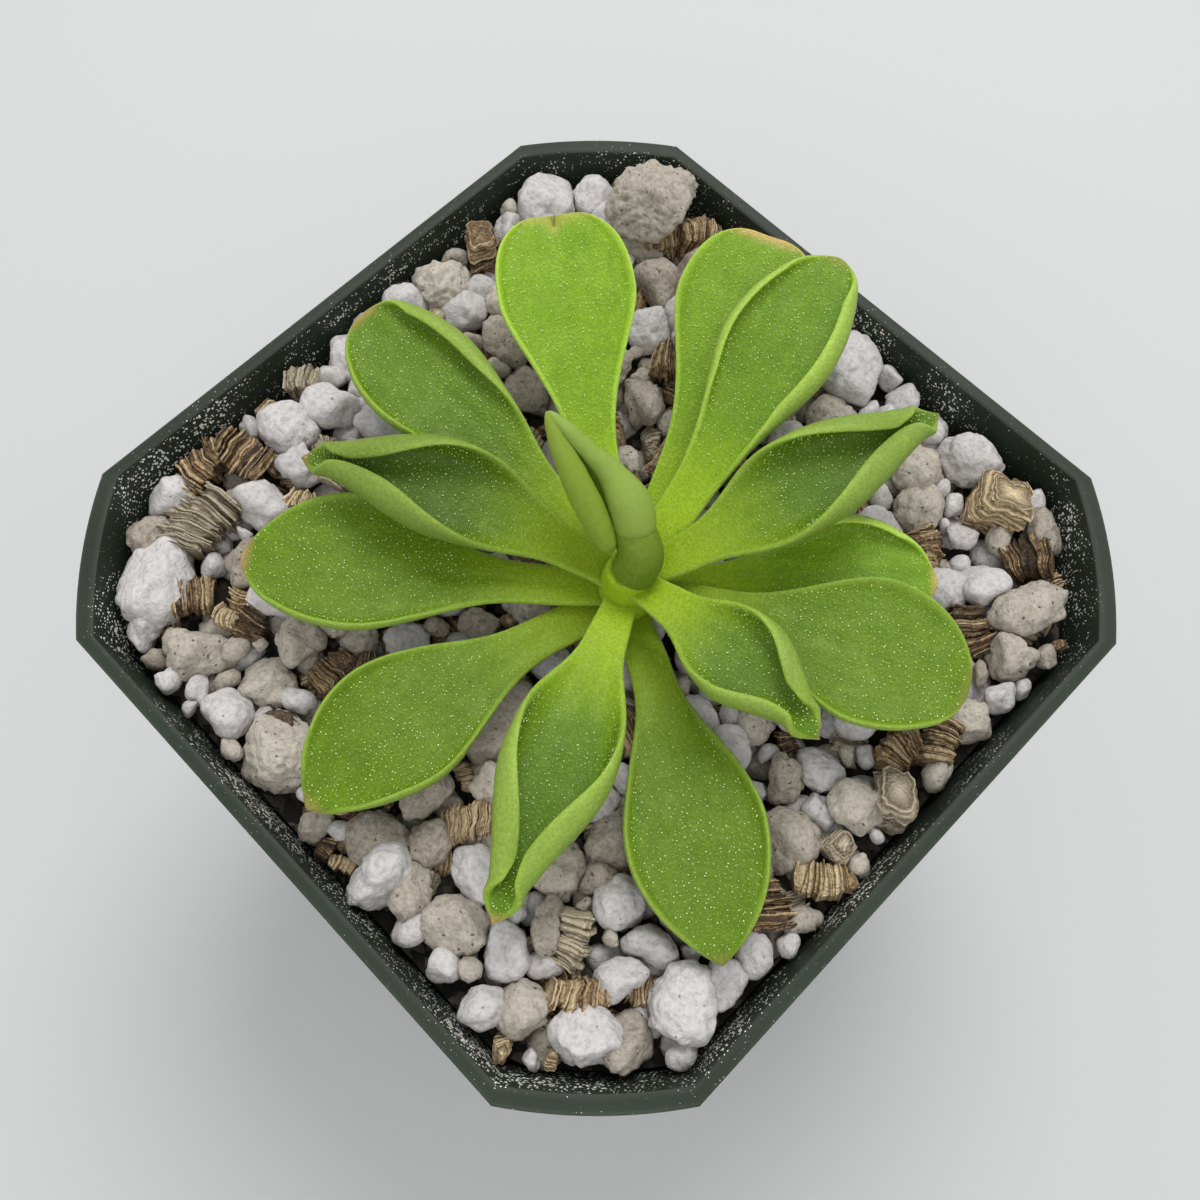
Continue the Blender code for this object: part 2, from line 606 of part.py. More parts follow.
def tube_rings(stations):
    """Rings of a fleshy tube through stations of place and radius, joined by smooth cubic curves."""
    stations = np.array(stations)
    slopes = np.gradient(stations, axis=0)
    t = np.linspace(0.0, len(stations) - 1, YOUNG_RINGS)
    start = np.minimum(t.astype(int), len(stations) - 2)
    u = (t - start)[:, None]
    middle = (
        (2 * u**3 - 3 * u**2 + 1) * stations[start]
        + (u**3 - 2 * u**2 + u) * slopes[start]
        + (3 * u**2 - 2 * u**3) * stations[start + 1]
        + (u**3 - u**2) * slopes[start + 1]
    )
    forward = np.gradient(middle[:, :3], axis=0)
    forward /= np.linalg.norm(forward, axis=1)[:, None]
    side = np.cross(forward, (0.3, -0.9, 0.3))
    side /= np.linalg.norm(side, axis=1)[:, None]
    deep = np.cross(forward, side)
    turn = np.arange(YOUNG_SIDES) * 2 * math.pi / YOUNG_SIDES
    spokes = side[:, None] * np.cos(turn)[:, None] + deep[:, None] * np.sin(turn)[:, None]
    rings = middle[:, None, :3] + middle[:, None, 3:] * spokes
    rings[..., 2] = np.maximum(rings[..., 2], CORE_TOP + GAP)
    return list(rings)


def build_young_leaf(material):
    """The youngest leaf: its stalk with the two lobes of its rolled blade fused to it."""
    leaf = loft("young_leaf", tube_rings(YOUNG_STALK), material)
    lobes = [loft("lobe", tube_rings(lobe), material) for lobe in (YOUNG_LEFT_LOBE, YOUNG_RIGHT_LOBE)]
    for lobe in lobes:
        modifier = leaf.modifiers.new("fuse", "BOOLEAN")
        modifier.operation = "UNION"
        modifier.object = lobe
    apply_modifiers(leaf)
    for lobe in lobes:
        bpy.data.objects.remove(lobe)
    drop_loose_shells(leaf)
    return leaf


def clear_scene():
    """Removes every object of the start-up scene."""
    for piece in list(bpy.data.objects):
        bpy.data.objects.remove(piece)


def shade(piece, sharp_angle):
    """Shades a piece smooth, with edges sharper than an angle in degrees kept crisp."""
    piece.data.shade_smooth()
    piece.data.set_sharp_from_angle(angle=math.radians(sharp_angle))


def main():
    """Builds the pot, the bed, the crown and the leaves."""
    clear_scene()
    plastic = principled("moulded_plastic", (0.022, 0.045, 0.032), 0.45)
    leaf_green = principled("leaf_green", (0.20, 0.42, 0.035), 0.40)
    grit = {
        "perlite": principled("perlite", (0.74, 0.73, 0.75), 0.9),
        "pumice": principled("pumice", (0.52, 0.47, 0.41), 0.9),
        "vermiculite": principled("vermiculite", (0.32, 0.20, 0.09), 0.5),
    }
    shade(build_pot(plastic), 30)
    shade(build_bed(grit), 20)
    shade(build_crown(leaf_green), 30)
    for leaf in LEAVES:
        shade(leaf_object(leaf, leaf_green), 50)
    shade(build_young_leaf(leaf_green), 50)


main()
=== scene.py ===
"""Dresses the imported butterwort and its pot: fleshy sticky leaves, mineral grit and moulded plastic.

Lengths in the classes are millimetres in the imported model's frame: the origin is the middle of the
pot's underside, +Z is up, and the pot's flat sides face X and Y. They become metres in the meshes.
"""

import itertools
import logging
import math
from collections.abc import Iterable, Mapping, Sequence
from dataclasses import dataclass
from enum import Enum
from typing import Any

import bmesh
import bpy
import numpy as np
from mathutils import Matrix, Vector


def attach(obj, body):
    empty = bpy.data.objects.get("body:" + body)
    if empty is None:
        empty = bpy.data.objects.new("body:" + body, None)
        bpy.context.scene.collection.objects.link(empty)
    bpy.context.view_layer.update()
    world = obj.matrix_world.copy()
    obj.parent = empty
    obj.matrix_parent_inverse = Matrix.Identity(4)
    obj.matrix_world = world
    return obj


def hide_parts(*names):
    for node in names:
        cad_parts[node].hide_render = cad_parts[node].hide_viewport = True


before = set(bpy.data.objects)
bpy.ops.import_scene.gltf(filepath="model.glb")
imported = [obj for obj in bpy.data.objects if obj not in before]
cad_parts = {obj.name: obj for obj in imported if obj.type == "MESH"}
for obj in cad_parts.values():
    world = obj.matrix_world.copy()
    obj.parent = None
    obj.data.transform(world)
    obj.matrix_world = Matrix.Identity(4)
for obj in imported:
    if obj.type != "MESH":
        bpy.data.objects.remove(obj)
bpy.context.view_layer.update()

MM = 0.001
LOG = logging.getLogger("butterwort")


def smooth_step(x: np.ndarray | float, start: float, end: float) -> np.ndarray:
    """Rises from 0 at start to 1 at end as 3t² - 2t³, level at both ends.

    Args:
        x: Where to read the curve.
        start: Where it leaves 0.
        end: Where it reaches 1.

    Returns:
        The curve's values, in x's shape.
    """
    t = np.clip((np.asarray(x, float) - start) / (end - start), 0.0, 1.0)
    return t * t * (3.0 - 2.0 * t)


def cell_value(cells: np.ndarray, seed: int) -> np.ndarray:
    """Hashes whole-number cells to steady values from 0 to 1, by odd multipliers and folded bits.

    Args:
        cells: Cell numbers, with X, Y and Z last.
        seed: Picks one of many unlike fields.

    Returns:
        One value for each cell.
    """
    mixed = cells[..., 0] * 374761393 + cells[..., 1] * 668265263 + cells[..., 2] * 362437 + seed * 974711
    mixed = (mixed ^ (mixed >> 13)) & 0xFFFFFFFF
    mixed = (mixed * 1274126177) & 0xFFFFFFFF
    mixed = mixed ^ (mixed >> 16)
    return mixed / 0xFFFFFFFF


def soft_noise(points: np.ndarray, seed: int) -> np.ndarray:
    """Value noise from -1 to 1: eight hashed cell corners blended by 3t² - 2t³ along each axis.

    Args:
        points: Points in cell units, with X, Y and Z last.
        seed: Picks the field.

    Returns:
        One value for each point.
    """
    cell = np.floor(points).astype(np.int64)
    part = points - cell
    part = part * part * (3.0 - 2.0 * part)
    total = np.zeros(points.shape[:-1])
    for corner in itertools.product((0, 1), repeat=3):
        weight = np.prod(np.where(np.array(corner) == 1, part, 1.0 - part), axis=-1)
        total += weight * cell_value(cell + np.array(corner), seed)
    return 2.0 * total - 1.0


def layered_noise(points: np.ndarray, seed: int, octaves: int = 3) -> np.ndarray:
    """Sum of soft noise whose scale and height halve from one octave to the next.

    Args:
        points: Points in cell units, with X, Y and Z last.
        seed: Picks the field.
        octaves: How many scales are added.

    Returns:
        One value for each point, from about -1.5 to 1.5.
    """
    return sum(0.5**step * soft_noise(points * 2.0**step, seed + 31 * step) for step in range(octaves))


def pit_distance(points: np.ndarray, seed: int) -> np.ndarray:
    """Distance to the nearest of the seeds that lie one to a cell, at a hashed place in it.

    Args:
        points: Points in cell units, with X, Y and Z last.
        seed: Picks the seeds.

    Returns:
        One distance for each point, in cell units.
    """
    cell = np.floor(points).astype(np.int64)
    nearest = np.full(points.shape[:-1], 9.0)
    for step in itertools.product((-1, 0, 1), repeat=3):
        near = cell + np.array(step)
        spot = near + np.stack([cell_value(near, seed + 7 * axis) for axis in range(3)], axis=-1)
        nearest = np.minimum(nearest, np.linalg.norm(points - spot, axis=-1))
    return nearest


def turned(points: np.ndarray, tilt: float, turn: float) -> np.ndarray:
    """Turns points about Y by a tilt and then about Z by a turn.

    Args:
        points: Points, with X, Y and Z last.
        tilt: Angle about Y, in radians.
        turn: Angle about Z, in radians.

    Returns:
        The turned points.
    """
    c, s = math.cos(tilt), math.sin(tilt)
    points = points @ np.array([[c, 0, -s], [0, 1, 0], [s, 0, c]])
    c, s = math.cos(turn), math.sin(turn)
    return points @ np.array([[c, s, 0], [-s, c, 0], [0, 0, 1]])


def unit_ball(level: int) -> tuple[np.ndarray, np.ndarray]:
    """A ball of radius 1 made of even triangles.

    Args:
        level: 1 for 20 triangles, and four times as many for each level more.

    Returns:
        Its points and its triangles.
    """
    ball = bmesh.new()
    bmesh.ops.create_icosphere(ball, subdivisions=level, radius=1.0)
    points = np.array([vertex.co for vertex in ball.verts])
    faces = np.array([[vertex.index for vertex in face.verts] for face in ball.faces])
    ball.free()
    return points, faces


def grid_quads(index: np.ndarray, flip: bool = False) -> np.ndarray:
    """Quads between neighbouring rows and columns of a grid of vertex numbers.

    Args:
        index: Vertex numbers, rows by columns.
        flip: True to wind them the other way round.

    Returns:
        One row of four vertex numbers for each quad.
    """
    quads = np.stack([index[:-1, :-1], index[1:, :-1], index[1:, 1:], index[:-1, 1:]], axis=-1)
    quads = quads.reshape(-1, 4)
    return quads[:, ::-1] if flip else quads


def tube_faces(rings: int, around: int, start: int = 0) -> list[np.ndarray]:
    """Faces of a closed tube: quads between its rings and a flat cap on the first and on the last.

    Args:
        rings: How many rings of points there are.
        around: How many points each ring has.
        start: Number of the first point.

    Returns:
        The quads and both caps.
    """
    index = start + np.arange(rings * around).reshape(rings, around)
    sides = grid_quads(np.concatenate([index, index[:, :1]], axis=1), flip=True)
    return [sides, index[:1, ::-1], index[-1:, :]]


def even_turns(count: int) -> np.ndarray:
    """Angles in even steps round a circle, in radians."""
    return np.arange(count) * 2 * math.pi / count


def unit_rows(vectors: np.ndarray) -> np.ndarray:
    """Scales each vector to length 1."""
    return vectors / np.linalg.norm(vectors, axis=1)[:, None]


def spokes(way: np.ndarray, helper: np.ndarray | tuple[float, ...], count: int) -> np.ndarray:
    """Unit vectors square to each direction, in even steps round it.

    Args:
        way: Unit directions.
        helper: A vector that none of them lies along, or one for each.
        count: How many spokes each direction gets.

    Returns:
        Directions by spokes by three.
    """
    first = unit_rows(np.cross(way, helper))
    second = np.cross(way, first)
    turn = even_turns(count)[:, None]
    return first[:, None] * np.cos(turn) + second[:, None] * np.sin(turn)


def make_mesh(
    name: str,
    points: np.ndarray,
    faces: Sequence[np.ndarray],
    material: bpy.types.Material,
    values: Mapping[str, np.ndarray] | None = None,
) -> bpy.types.Object:
    """Puts whole arrays into a mesh, shades it smooth and links its object at the origin.

    Args:
        name: Name of the object and its mesh.
        points: Vertices in millimetres.
        faces: Arrays of faces, each with one count of corners.
        material: The finish of the whole piece.
        values: Values to store for each vertex, by attribute name, one number or three each.

    Returns:
        The new object.
    """
    mesh = bpy.data.meshes.new(name)
    corners = np.concatenate([block.ravel() for block in faces]).astype(np.int32)
    sizes = np.concatenate([np.full(len(block), block.shape[1]) for block in faces])
    mesh.vertices.add(len(points))
    mesh.vertices.foreach_set("co", (points * MM).astype(np.float32).ravel())
    mesh.loops.add(len(corners))
    mesh.loops.foreach_set("vertex_index", corners)
    mesh.polygons.add(len(sizes))
    mesh.polygons.foreach_set("loop_start", (np.cumsum(sizes) - sizes).astype(np.int32))
    for key, value in (values or {}).items():
        vector = value.ndim == 2
        layer = mesh.attributes.new(key, "FLOAT_VECTOR" if vector else "FLOAT", "POINT")
        layer.data.foreach_set("vector" if vector else "value", value.astype(np.float32).ravel())
    mesh.update(calc_edges=True)
    mesh.shade_smooth()
    mesh.materials.append(material)
    piece = bpy.data.objects.new(name, mesh)
    bpy.context.scene.collection.objects.link(piece)
    return piece


def fix_piece(piece: bpy.types.Object, nodes: Iterable[str] = ()) -> None:
    """Lets a piece ride on the part and hides the nodes it stands for.

    Args:
        piece: The finished piece.
        nodes: CAD nodes that the piece replaces.
    """
    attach(piece, "root")
    names = tuple(nodes)
    if names:
        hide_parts(*names)
    LOG.info("%s: %d faces, stands for %s", piece.name, len(piece.data.polygons), names or "nothing")


def linear(colour: str) -> tuple[float, float, float, float]:
    """Turns an sRGB hex colour to linear red, green, blue and alpha.

    Args:
        colour: Such as "#8BAA3E".

    Returns:
        Four numbers from 0 to 1.
    """
    parts = [int(colour[i : i + 2], 16) / 255 for i in (1, 3, 5)]
    red, green, blue = (p / 12.92 if p <= 0.04045 else ((p + 0.055) / 1.055) ** 2.4 for p in parts)
    return red, green, blue, 1.0


class Finish:
    """A material in the making: its nodes, and the Principled shader that they feed."""

    def __init__(self, name: str) -> None:
        """Starts a material with this name."""
        self.material = bpy.data.materials.new(name)
        self.material.use_nodes = True
        self.tree = self.material.node_tree

    def feed(self, node: bpy.types.Node, inputs: Mapping[str | int, Any]) -> None:
        """Sets a node's inputs or links them.

        Args:
            node: The node.
            inputs: A value, a hex colour, an output socket, or a node whose first live output is
                meant, for each named or numbered input. In a Mix of colours 0 is the share and 6 and 7
                are the colours. In a MapRange 0 is the value, 1 and 2 its range, 3 and 4 the new range.
        """
        for key, value in inputs.items():
            if isinstance(value, bpy.types.Node):
                value = next(socket for socket in value.outputs if socket.enabled)
            if isinstance(value, bpy.types.NodeSocket):
                self.tree.links.new(value, node.inputs[key])
            else:
                node.inputs[key].default_value = linear(value) if isinstance(value, str) else value

    def add(
        self,
        kind: str,
        inputs: Mapping[str | int, Any] | None = None,
        stops: Sequence[tuple[float, str]] = (),
        **settings: Any,
    ) -> bpy.types.Node:
        """Adds one node with its settings, its inputs and, on a colour ramp, its stops.

        Args:
            kind: The node's type, without the word that all types start with.
            inputs: As for feed.
            stops: Positions and hex colours of a ramp.
            **settings: The node's own properties.

        Returns:
            The new node.
        """
        node = self.tree.nodes.new("ShaderNode" + kind)
        for key, value in settings.items():
            setattr(node, key, value)
        self.feed(node, inputs or {})
        for number, (place, colour) in enumerate(stops):
            ramp = node.color_ramp
            stop = ramp.elements[number] if number < 2 else ramp.elements.new(place)
            stop.position = place
            stop.color = linear(colour)
        return node

    def done(self, inputs: Mapping[str | int, Any]) -> bpy.types.Material:
        """Feeds the shader and hands over the finished material."""
        self.feed(self.tree.nodes["Principled BSDF"], inputs)
        return self.material


@dataclass(frozen=True)
class MouldedPolypropylene:
    """Dark green polypropylene, injection moulded: a dull sheen, a fine grain and clinging dust."""

    body: str = "#1E261C"
    # Painted highlight: a lighter colour laid on the rounded edges, where light catches them
    painted_highlight: str = "#434C3F"
    dust: str = "#E2E0D8"
    roughness: float = 0.5
    grain_mm: float = 0.35
    speck_cell_mm: float = 0.30

    def build(self) -> bpy.types.Material:
        """Makes the material. Attribute "dusty" says how thick the dust lies, "edge" how strong the painted
        highlight is.

        Returns:
            The material.
        """
        finish = Finish("moulded_polypropylene")
        add = finish.add
        place = add("TexCoord").outputs["Object"]
        dusty = add("Attribute", attribute_name="dusty").outputs["Fac"]
        edge = add("Attribute", attribute_name="edge").outputs["Fac"]
        tone = add("TexNoise", {"Vector": place, "Scale": 90.0, "Detail": 4.0})
        # Painted highlight: the lighter colour, mottled by the noise, strongest on the rounded edges and
        # faint on the flats
        painted_highlight = add("Math", {0: edge, 1: tone}, operation="MULTIPLY")
        plastic = add("Mix", {0: painted_highlight, 6: self.body, 7: self.painted_highlight}, data_type="RGBA")
        # Perlite dust: one speck to a cell, larger or missing by the cell's own value
        specks = add("TexVoronoi", {"Vector": place, "Scale": 1.0 / (self.speck_cell_mm * MM)})
        pick = add("SeparateColor", {"Color": specks.outputs["Color"]})
        drift = add("TexNoise", {"Vector": place, "Scale": 130.0, "Detail": 3.0})
        drifts = add("MapRange", {0: drift, 1: 0.36, 2: 0.68, 3: 0.2, 4: 1.0})
        amount = add("Math", {0: dusty, 1: drifts}, operation="MULTIPLY")
        lot = add("Math", {0: pick.outputs["Red"], 1: 1.25}, operation="POWER")
        reach = add("Math", {0: amount, 1: lot}, operation="MULTIPLY")
        size = add("Math", {0: reach, 1: 0.74}, operation="MULTIPLY")
        speck = add("Math", {0: specks, 1: size}, operation="LESS_THAN")
        film = add("Math", {0: amount, 1: 0.02, 2: speck}, operation="MULTIPLY_ADD", use_clamp=True)
        shown = add("Mix", {0: film, 6: plastic, 7: self.dust}, data_type="RGBA")
        rough = add("MapRange", {0: film, 3: self.roughness, 4: 0.95})
        grain = add("TexNoise", {"Vector": place, "Scale": 1.0 / (self.grain_mm * MM)})
        bump = add("Bump", {"Strength": 0.25, "Distance": 0.05 * MM, "Height": grain})
        return finish.done(
            {"Base Color": shown, "Roughness": rough, "Normal": bump, "Specular IOR Level": 0.2}
        )


@dataclass(frozen=True)
class LeafTissue:
    """Living butterwort leaf, grown: thin-skinned watery flesh that lets light into its margins."""

    petiole: str = "#839B1C"
    blade: str = "#627F10"
    # Darker green: real patches along the veins, and painted shade in a rolled leaf's fold
    dark_patch_and_fold_shade: str = "#4B6A0B"
    lower: str = "#798F3C"
    margin: str = "#92AC45"
    blush: str = "#A98459"
    roughness: float = 0.46
    skin_mm: float = 0.30

    def build(self) -> bpy.types.Material:
        """Makes the material. It reads attributes along, reach, upper, blush, fold, flow and each leaf's gain
        of painted light.

        Returns:
            The material.
        """
        finish = Finish("leaf_tissue")
        add = finish.add
        names = ("along", "reach", "upper", "blush", "fold", "painted_light")
        along, reach, upper, blush, fold, painted_light = (
            add("Attribute", attribute_name=name).outputs["Fac"] for name in names
        )
        flow = add("Attribute", attribute_name="flow").outputs["Vector"]
        place = add("TexCoord").outputs["Object"]
        # Flow is in millimetres across and along the leaf, so veins run along it
        stretch = add("Mapping", {"Vector": flow, "Scale": (0.9, 0.16, 1.0)})
        veins = add("TexNoise", {"Vector": stretch, "Scale": 1.0, "Detail": 3.0, "Roughness": 0.6})
        mottle = add("TexNoise", {"Vector": place, "Scale": 420.0, "Detail": 5.0, "Roughness": 0.65})
        colour = add("MapRange", {0: along, 1: 0.06, 2: 0.52}, interpolation_type="SMOOTHSTEP")
        green = add("Mix", {0: colour, 6: self.petiole, 7: self.blade}, data_type="RGBA")
        patchy = add("Math", {0: veins, 1: mottle}, operation="MULTIPLY")
        depth = add("MapRange", {0: patchy, 1: 0.12, 2: 0.4, 3: 0.0, 4: 0.6})
        # Painted shade: the trough of a rolled leaf takes the darker green by the fold attribute, added to
        # real patches along the veins
        patch_and_fold_share = add("Math", {0: fold, 1: 0.75, 2: depth}, operation="MULTIPLY_ADD", use_clamp=True)
        limited = add("Math", {0: patch_and_fold_share, 1: colour}, operation="MULTIPLY")
        top = add("Mix", {0: limited, 6: green, 7: self.dark_patch_and_fold_shade}, data_type="RGBA")
        under = add("Mix", {0: mottle, 6: self.lower, 7: self.blade}, data_type="RGBA")
        under_tone = add("Mix", {0: 0.72, 6: under, 7: self.lower}, data_type="RGBA")
        both = add("Mix", {0: upper, 6: under_tone, 7: top}, data_type="RGBA")
        rim = add(
            "MapRange", {0: reach, 1: 0.86, 2: 0.99, 3: 0.0, 4: 0.42}, interpolation_type="SMOOTHSTEP"
        )
        edged = add("Mix", {0: rim, 6: both, 7: self.margin}, data_type="RGBA")
        tipped = add("Mix", {0: blush, 6: edged, 7: self.blush}, data_type="RGBA")
        skin = add("TexVoronoi", {"Vector": place, "Scale": 1.0 / (self.skin_mm * MM)})
        # Painted light: each leaf's colour is brightened by its own gain, standing in for light that comes
        # through some leaves more than others, and the skin's cells show in it
        cells = add("Math", {0: skin, 1: 0.38, 2: 0.85}, operation="MULTIPLY_ADD")
        shine = add("Math", {0: painted_light, 1: cells}, operation="MULTIPLY")
        lit = add("HueSaturation", {"Value": shine, "Color": tipped})
        relief = add("Math", {0: skin, 1: mottle}, operation="ADD")
        bump = add("Bump", {"Strength": 0.5, "Distance": 0.1 * MM, "Height": relief})
        rough = add(
            "MapRange", {0: mottle, 1: 0.3, 2: 0.7, 3: self.roughness - 0.08, 4: self.roughness + 0.1}
        )
        return finish.done(
            {
                "Base Color": lit, "Normal": bump, "Roughness": rough, "Specular IOR Level": 0.18,
                "Subsurface Weight": 0.25, "Subsurface Radius": (0.55, 1.0, 0.18),
                "Subsurface Scale": 1.1 * MM,
            }
        )


@dataclass(frozen=True)
class YoungTissue:
    """Unopened leaf, grown: pale sage flesh with a matt bloom and no glue on it yet."""

    # Painted shade: the stalk's foot lies in the lobes' shadow
    foot: str = "#5A7017"
    shaded: str = "#7B8F2C"
    pale: str = "#869C47"
    bloom_mm: float = 0.5

    def build(self) -> bpy.types.Material:
        """Makes the material. Attribute "tone" goes from the foot's dark green, painted shade under the
        lobes, to the pale lobe's.

        Returns:
            The material.
        """
        finish = Finish("young_leaf_tissue")
        add = finish.add
        place = add("TexCoord").outputs["Object"]
        tone = add("Attribute", attribute_name="tone").outputs["Fac"]
        bloom = add(
            "TexNoise",
            {"Vector": place, "Scale": 1.0 / (self.bloom_mm * MM), "Detail": 5.0, "Roughness": 0.6}
        )
        lively = add("MapRange", {0: bloom, 1: 0.3, 2: 0.7, 3: -0.12, 4: 0.12})
        shown = add("Math", {0: tone, 1: lively}, operation="ADD", use_clamp=True)
        # Painted shade: low tones darken to the foot's green, where the stalk lies under the lobes
        green = add("ValToRGB", {0: shown}, ((0.0, self.foot), (1.0, self.pale), (0.5, self.shaded)))
        bump = add("Bump", {"Strength": 0.4, "Distance": 0.08 * MM, "Height": bloom})
        return finish.done(
            {
                "Base Color": green, "Normal": bump, "Roughness": 0.62, "Specular IOR Level": 0.22,
                "Subsurface Weight": 0.25, "Subsurface Radius": (0.55, 1.0, 0.2),
                "Subsurface Scale": 1.2 * MM,
            }
        )


@dataclass(frozen=True)
class Mucilage:
    """Clear glue, secreted in beads: most take the leaf's green, and a few carry a white glint."""

    green: str = "#A6C253"
    glint: str = "#F3F9B8"
    roughness: float = 0.15

    def build(self) -> bpy.types.Material:
        """Makes the material. Attribute "tone" squared goes from the green to the glint.

        Returns:
            The material.
        """
        finish = Finish("mucilage_drops")
        add = finish.add
        tone = add("Attribute", attribute_name="tone").outputs["Fac"]
        few = add("Math", {0: tone, 1: 2.0}, operation="POWER")
        mix = add("Mix", {0: few, 6: self.green, 7: self.glint}, data_type="RGBA")
        return finish.done(
            {
                "Base Color": mix, "Roughness": self.roughness, "IOR": 1.36, "Coat Weight": 0.1,
                "Coat Roughness": 0.05,
            }
        )


@dataclass(frozen=True)
class ExpandedPerlite:
    """Volcanic glass popped by heat: a chalky white skin with soft dents and few pinholes, painted dark for
    the shade inside them.
    """

    body: str = "#CCC8C6"
    shade: str = "#908A86"
    # Painted shade inside the pinholes
    pit: str = "#6C6460"
    pit_cell_mm: float = 1.1
    grain_mm: float = 0.55

    def build(self) -> bpy.types.Material:
        """Makes the material. Attribute tone sets how grey a grain is.

        Returns:
            The material.
        """
        finish = Finish("expanded_perlite")
        add = finish.add
        place = add("TexCoord").outputs["Object"]
        tone = add("Attribute", attribute_name="tone").outputs["Fac"]
        cloud = add("TexNoise", {"Vector": place, "Scale": 520.0, "Detail": 5.0})
        grain = add(
            "TexNoise",
            {"Vector": place, "Scale": 1.0 / (self.grain_mm * MM), "Detail": 4.0, "Roughness": 0.65}
        )
        # Less light reaches the hollows between the bumps, so they are shaded as well as sunk
        hollow = add("MapRange", {0: grain, 1: 0.34, 2: 0.56, 3: 0.45, 4: 0.0})
        greyed = add("Math", {0: tone, 1: cloud}, operation="MULTIPLY")
        share = add("Math", {0: greyed, 1: 0.6, 2: hollow}, operation="MULTIPLY_ADD", use_clamp=True)
        chalk = add("Mix", {0: share, 6: self.body, 7: self.shade}, data_type="RGBA")
        # Painted shade: the pinholes are painted dark as well as sunk by the bump
        pits = add("TexVoronoi", {"Vector": place, "Scale": 1.0 / (self.pit_cell_mm * MM)})
        pick = add("SeparateColor", {"Color": pits.outputs["Color"]})
        reach = add("MapRange", {0: pick.outputs["Red"], 1: 0.45, 2: 1.0, 3: 0.0, 4: 0.13})
        pit = add("Math", {0: pits, 1: reach}, operation="LESS_THAN")
        faint = add("Math", {0: pit, 1: 0.7}, operation="MULTIPLY")
        pitted = add("Mix", {0: faint, 6: chalk, 7: self.pit}, data_type="RGBA")
        height = add("Math", {0: pit, 1: -0.8, 2: grain}, operation="MULTIPLY_ADD")
        bump = add("Bump", {"Strength": 0.75, "Distance": 0.38 * MM, "Height": height})
        return finish.done(
            {"Base Color": pitted, "Normal": bump, "Roughness": 0.92, "Specular IOR Level": 0.3}
        )


@dataclass(frozen=True)
class CrushedPumice:
    """Frothy lava, crushed: a beige-grey gritty break full of small gas holes, painted dark for the shade
    inside them.
    """

    body: str = "#D1C9BB"
    shade: str = "#877B6D"
    # Painted shade inside the gas holes
    hole: str = "#544B41"
    hole_cell_mm: float = 0.70
    grain_mm: float = 0.45

    def build(self) -> bpy.types.Material:
        """Makes the material. Attribute tone sets how brown a grain is.

        Returns:
            The material.
        """
        finish = Finish("crushed_pumice")
        add = finish.add
        place = add("TexCoord").outputs["Object"]
        tone = add("Attribute", attribute_name="tone").outputs["Fac"]
        cloud = add("TexNoise", {"Vector": place, "Scale": 700.0, "Detail": 6.0, "Roughness": 0.7})
        grain = add(
            "TexNoise",
            {"Vector": place, "Scale": 1.0 / (self.grain_mm * MM), "Detail": 5.0, "Roughness": 0.7}
        )
        # Less light reaches the hollows between the bumps, so they are shaded as well as sunk
        hollow = add("MapRange", {0: grain, 1: 0.34, 2: 0.58, 3: 0.45, 4: 0.0})
        share = add("Math", {0: cloud, 1: 0.9, 2: tone}, operation="MULTIPLY_ADD")
        browned = add("MapRange", {0: share, 1: 0.35, 2: 1.5, 3: 0.0, 4: 0.6})
        spread = add("Math", {0: browned, 1: hollow}, operation="ADD", use_clamp=True)
        stone = add("Mix", {0: spread, 6: self.body, 7: self.shade}, data_type="RGBA")
        warp = add("TexNoise", {"Vector": place, "Scale": 900.0, "Detail": 2.0})
        shifted = {0: 0.0004, 6: place, 7: warp.outputs["Color"]}
        moved = add("Mix", shifted, data_type="RGBA", blend_type="LINEAR_LIGHT")
        # Painted shade: the gas holes are painted dark as well as sunk by the bump
        holes = add("TexVoronoi", {"Vector": moved, "Scale": 1.0 / (self.hole_cell_mm * MM)})
        pick = add("SeparateColor", {"Color": holes.outputs["Color"]})
        reach = add("MapRange", {0: pick.outputs["Green"], 1: 0.45, 2: 1.0, 3: 0.0, 4: 0.26})
        inside = add("Math", {0: reach, 1: holes}, operation="SUBTRACT")
        hole = add("MapRange", {0: inside, 1: 0.0, 2: 0.1, 3: 0.0, 4: 0.85})
        holed = add("Mix", {0: hole, 6: stone, 7: self.hole}, data_type="RGBA")
        height = add("Math", {0: hole, 1: -1.2, 2: grain}, operation="MULTIPLY_ADD")
        bump = add("Bump", {"Strength": 0.85, "Distance": 0.42 * MM, "Height": height})
        return finish.done(
            {"Base Color": holed, "Normal": bump, "Roughness": 0.95, "Specular IOR Level": 0.25}
        )


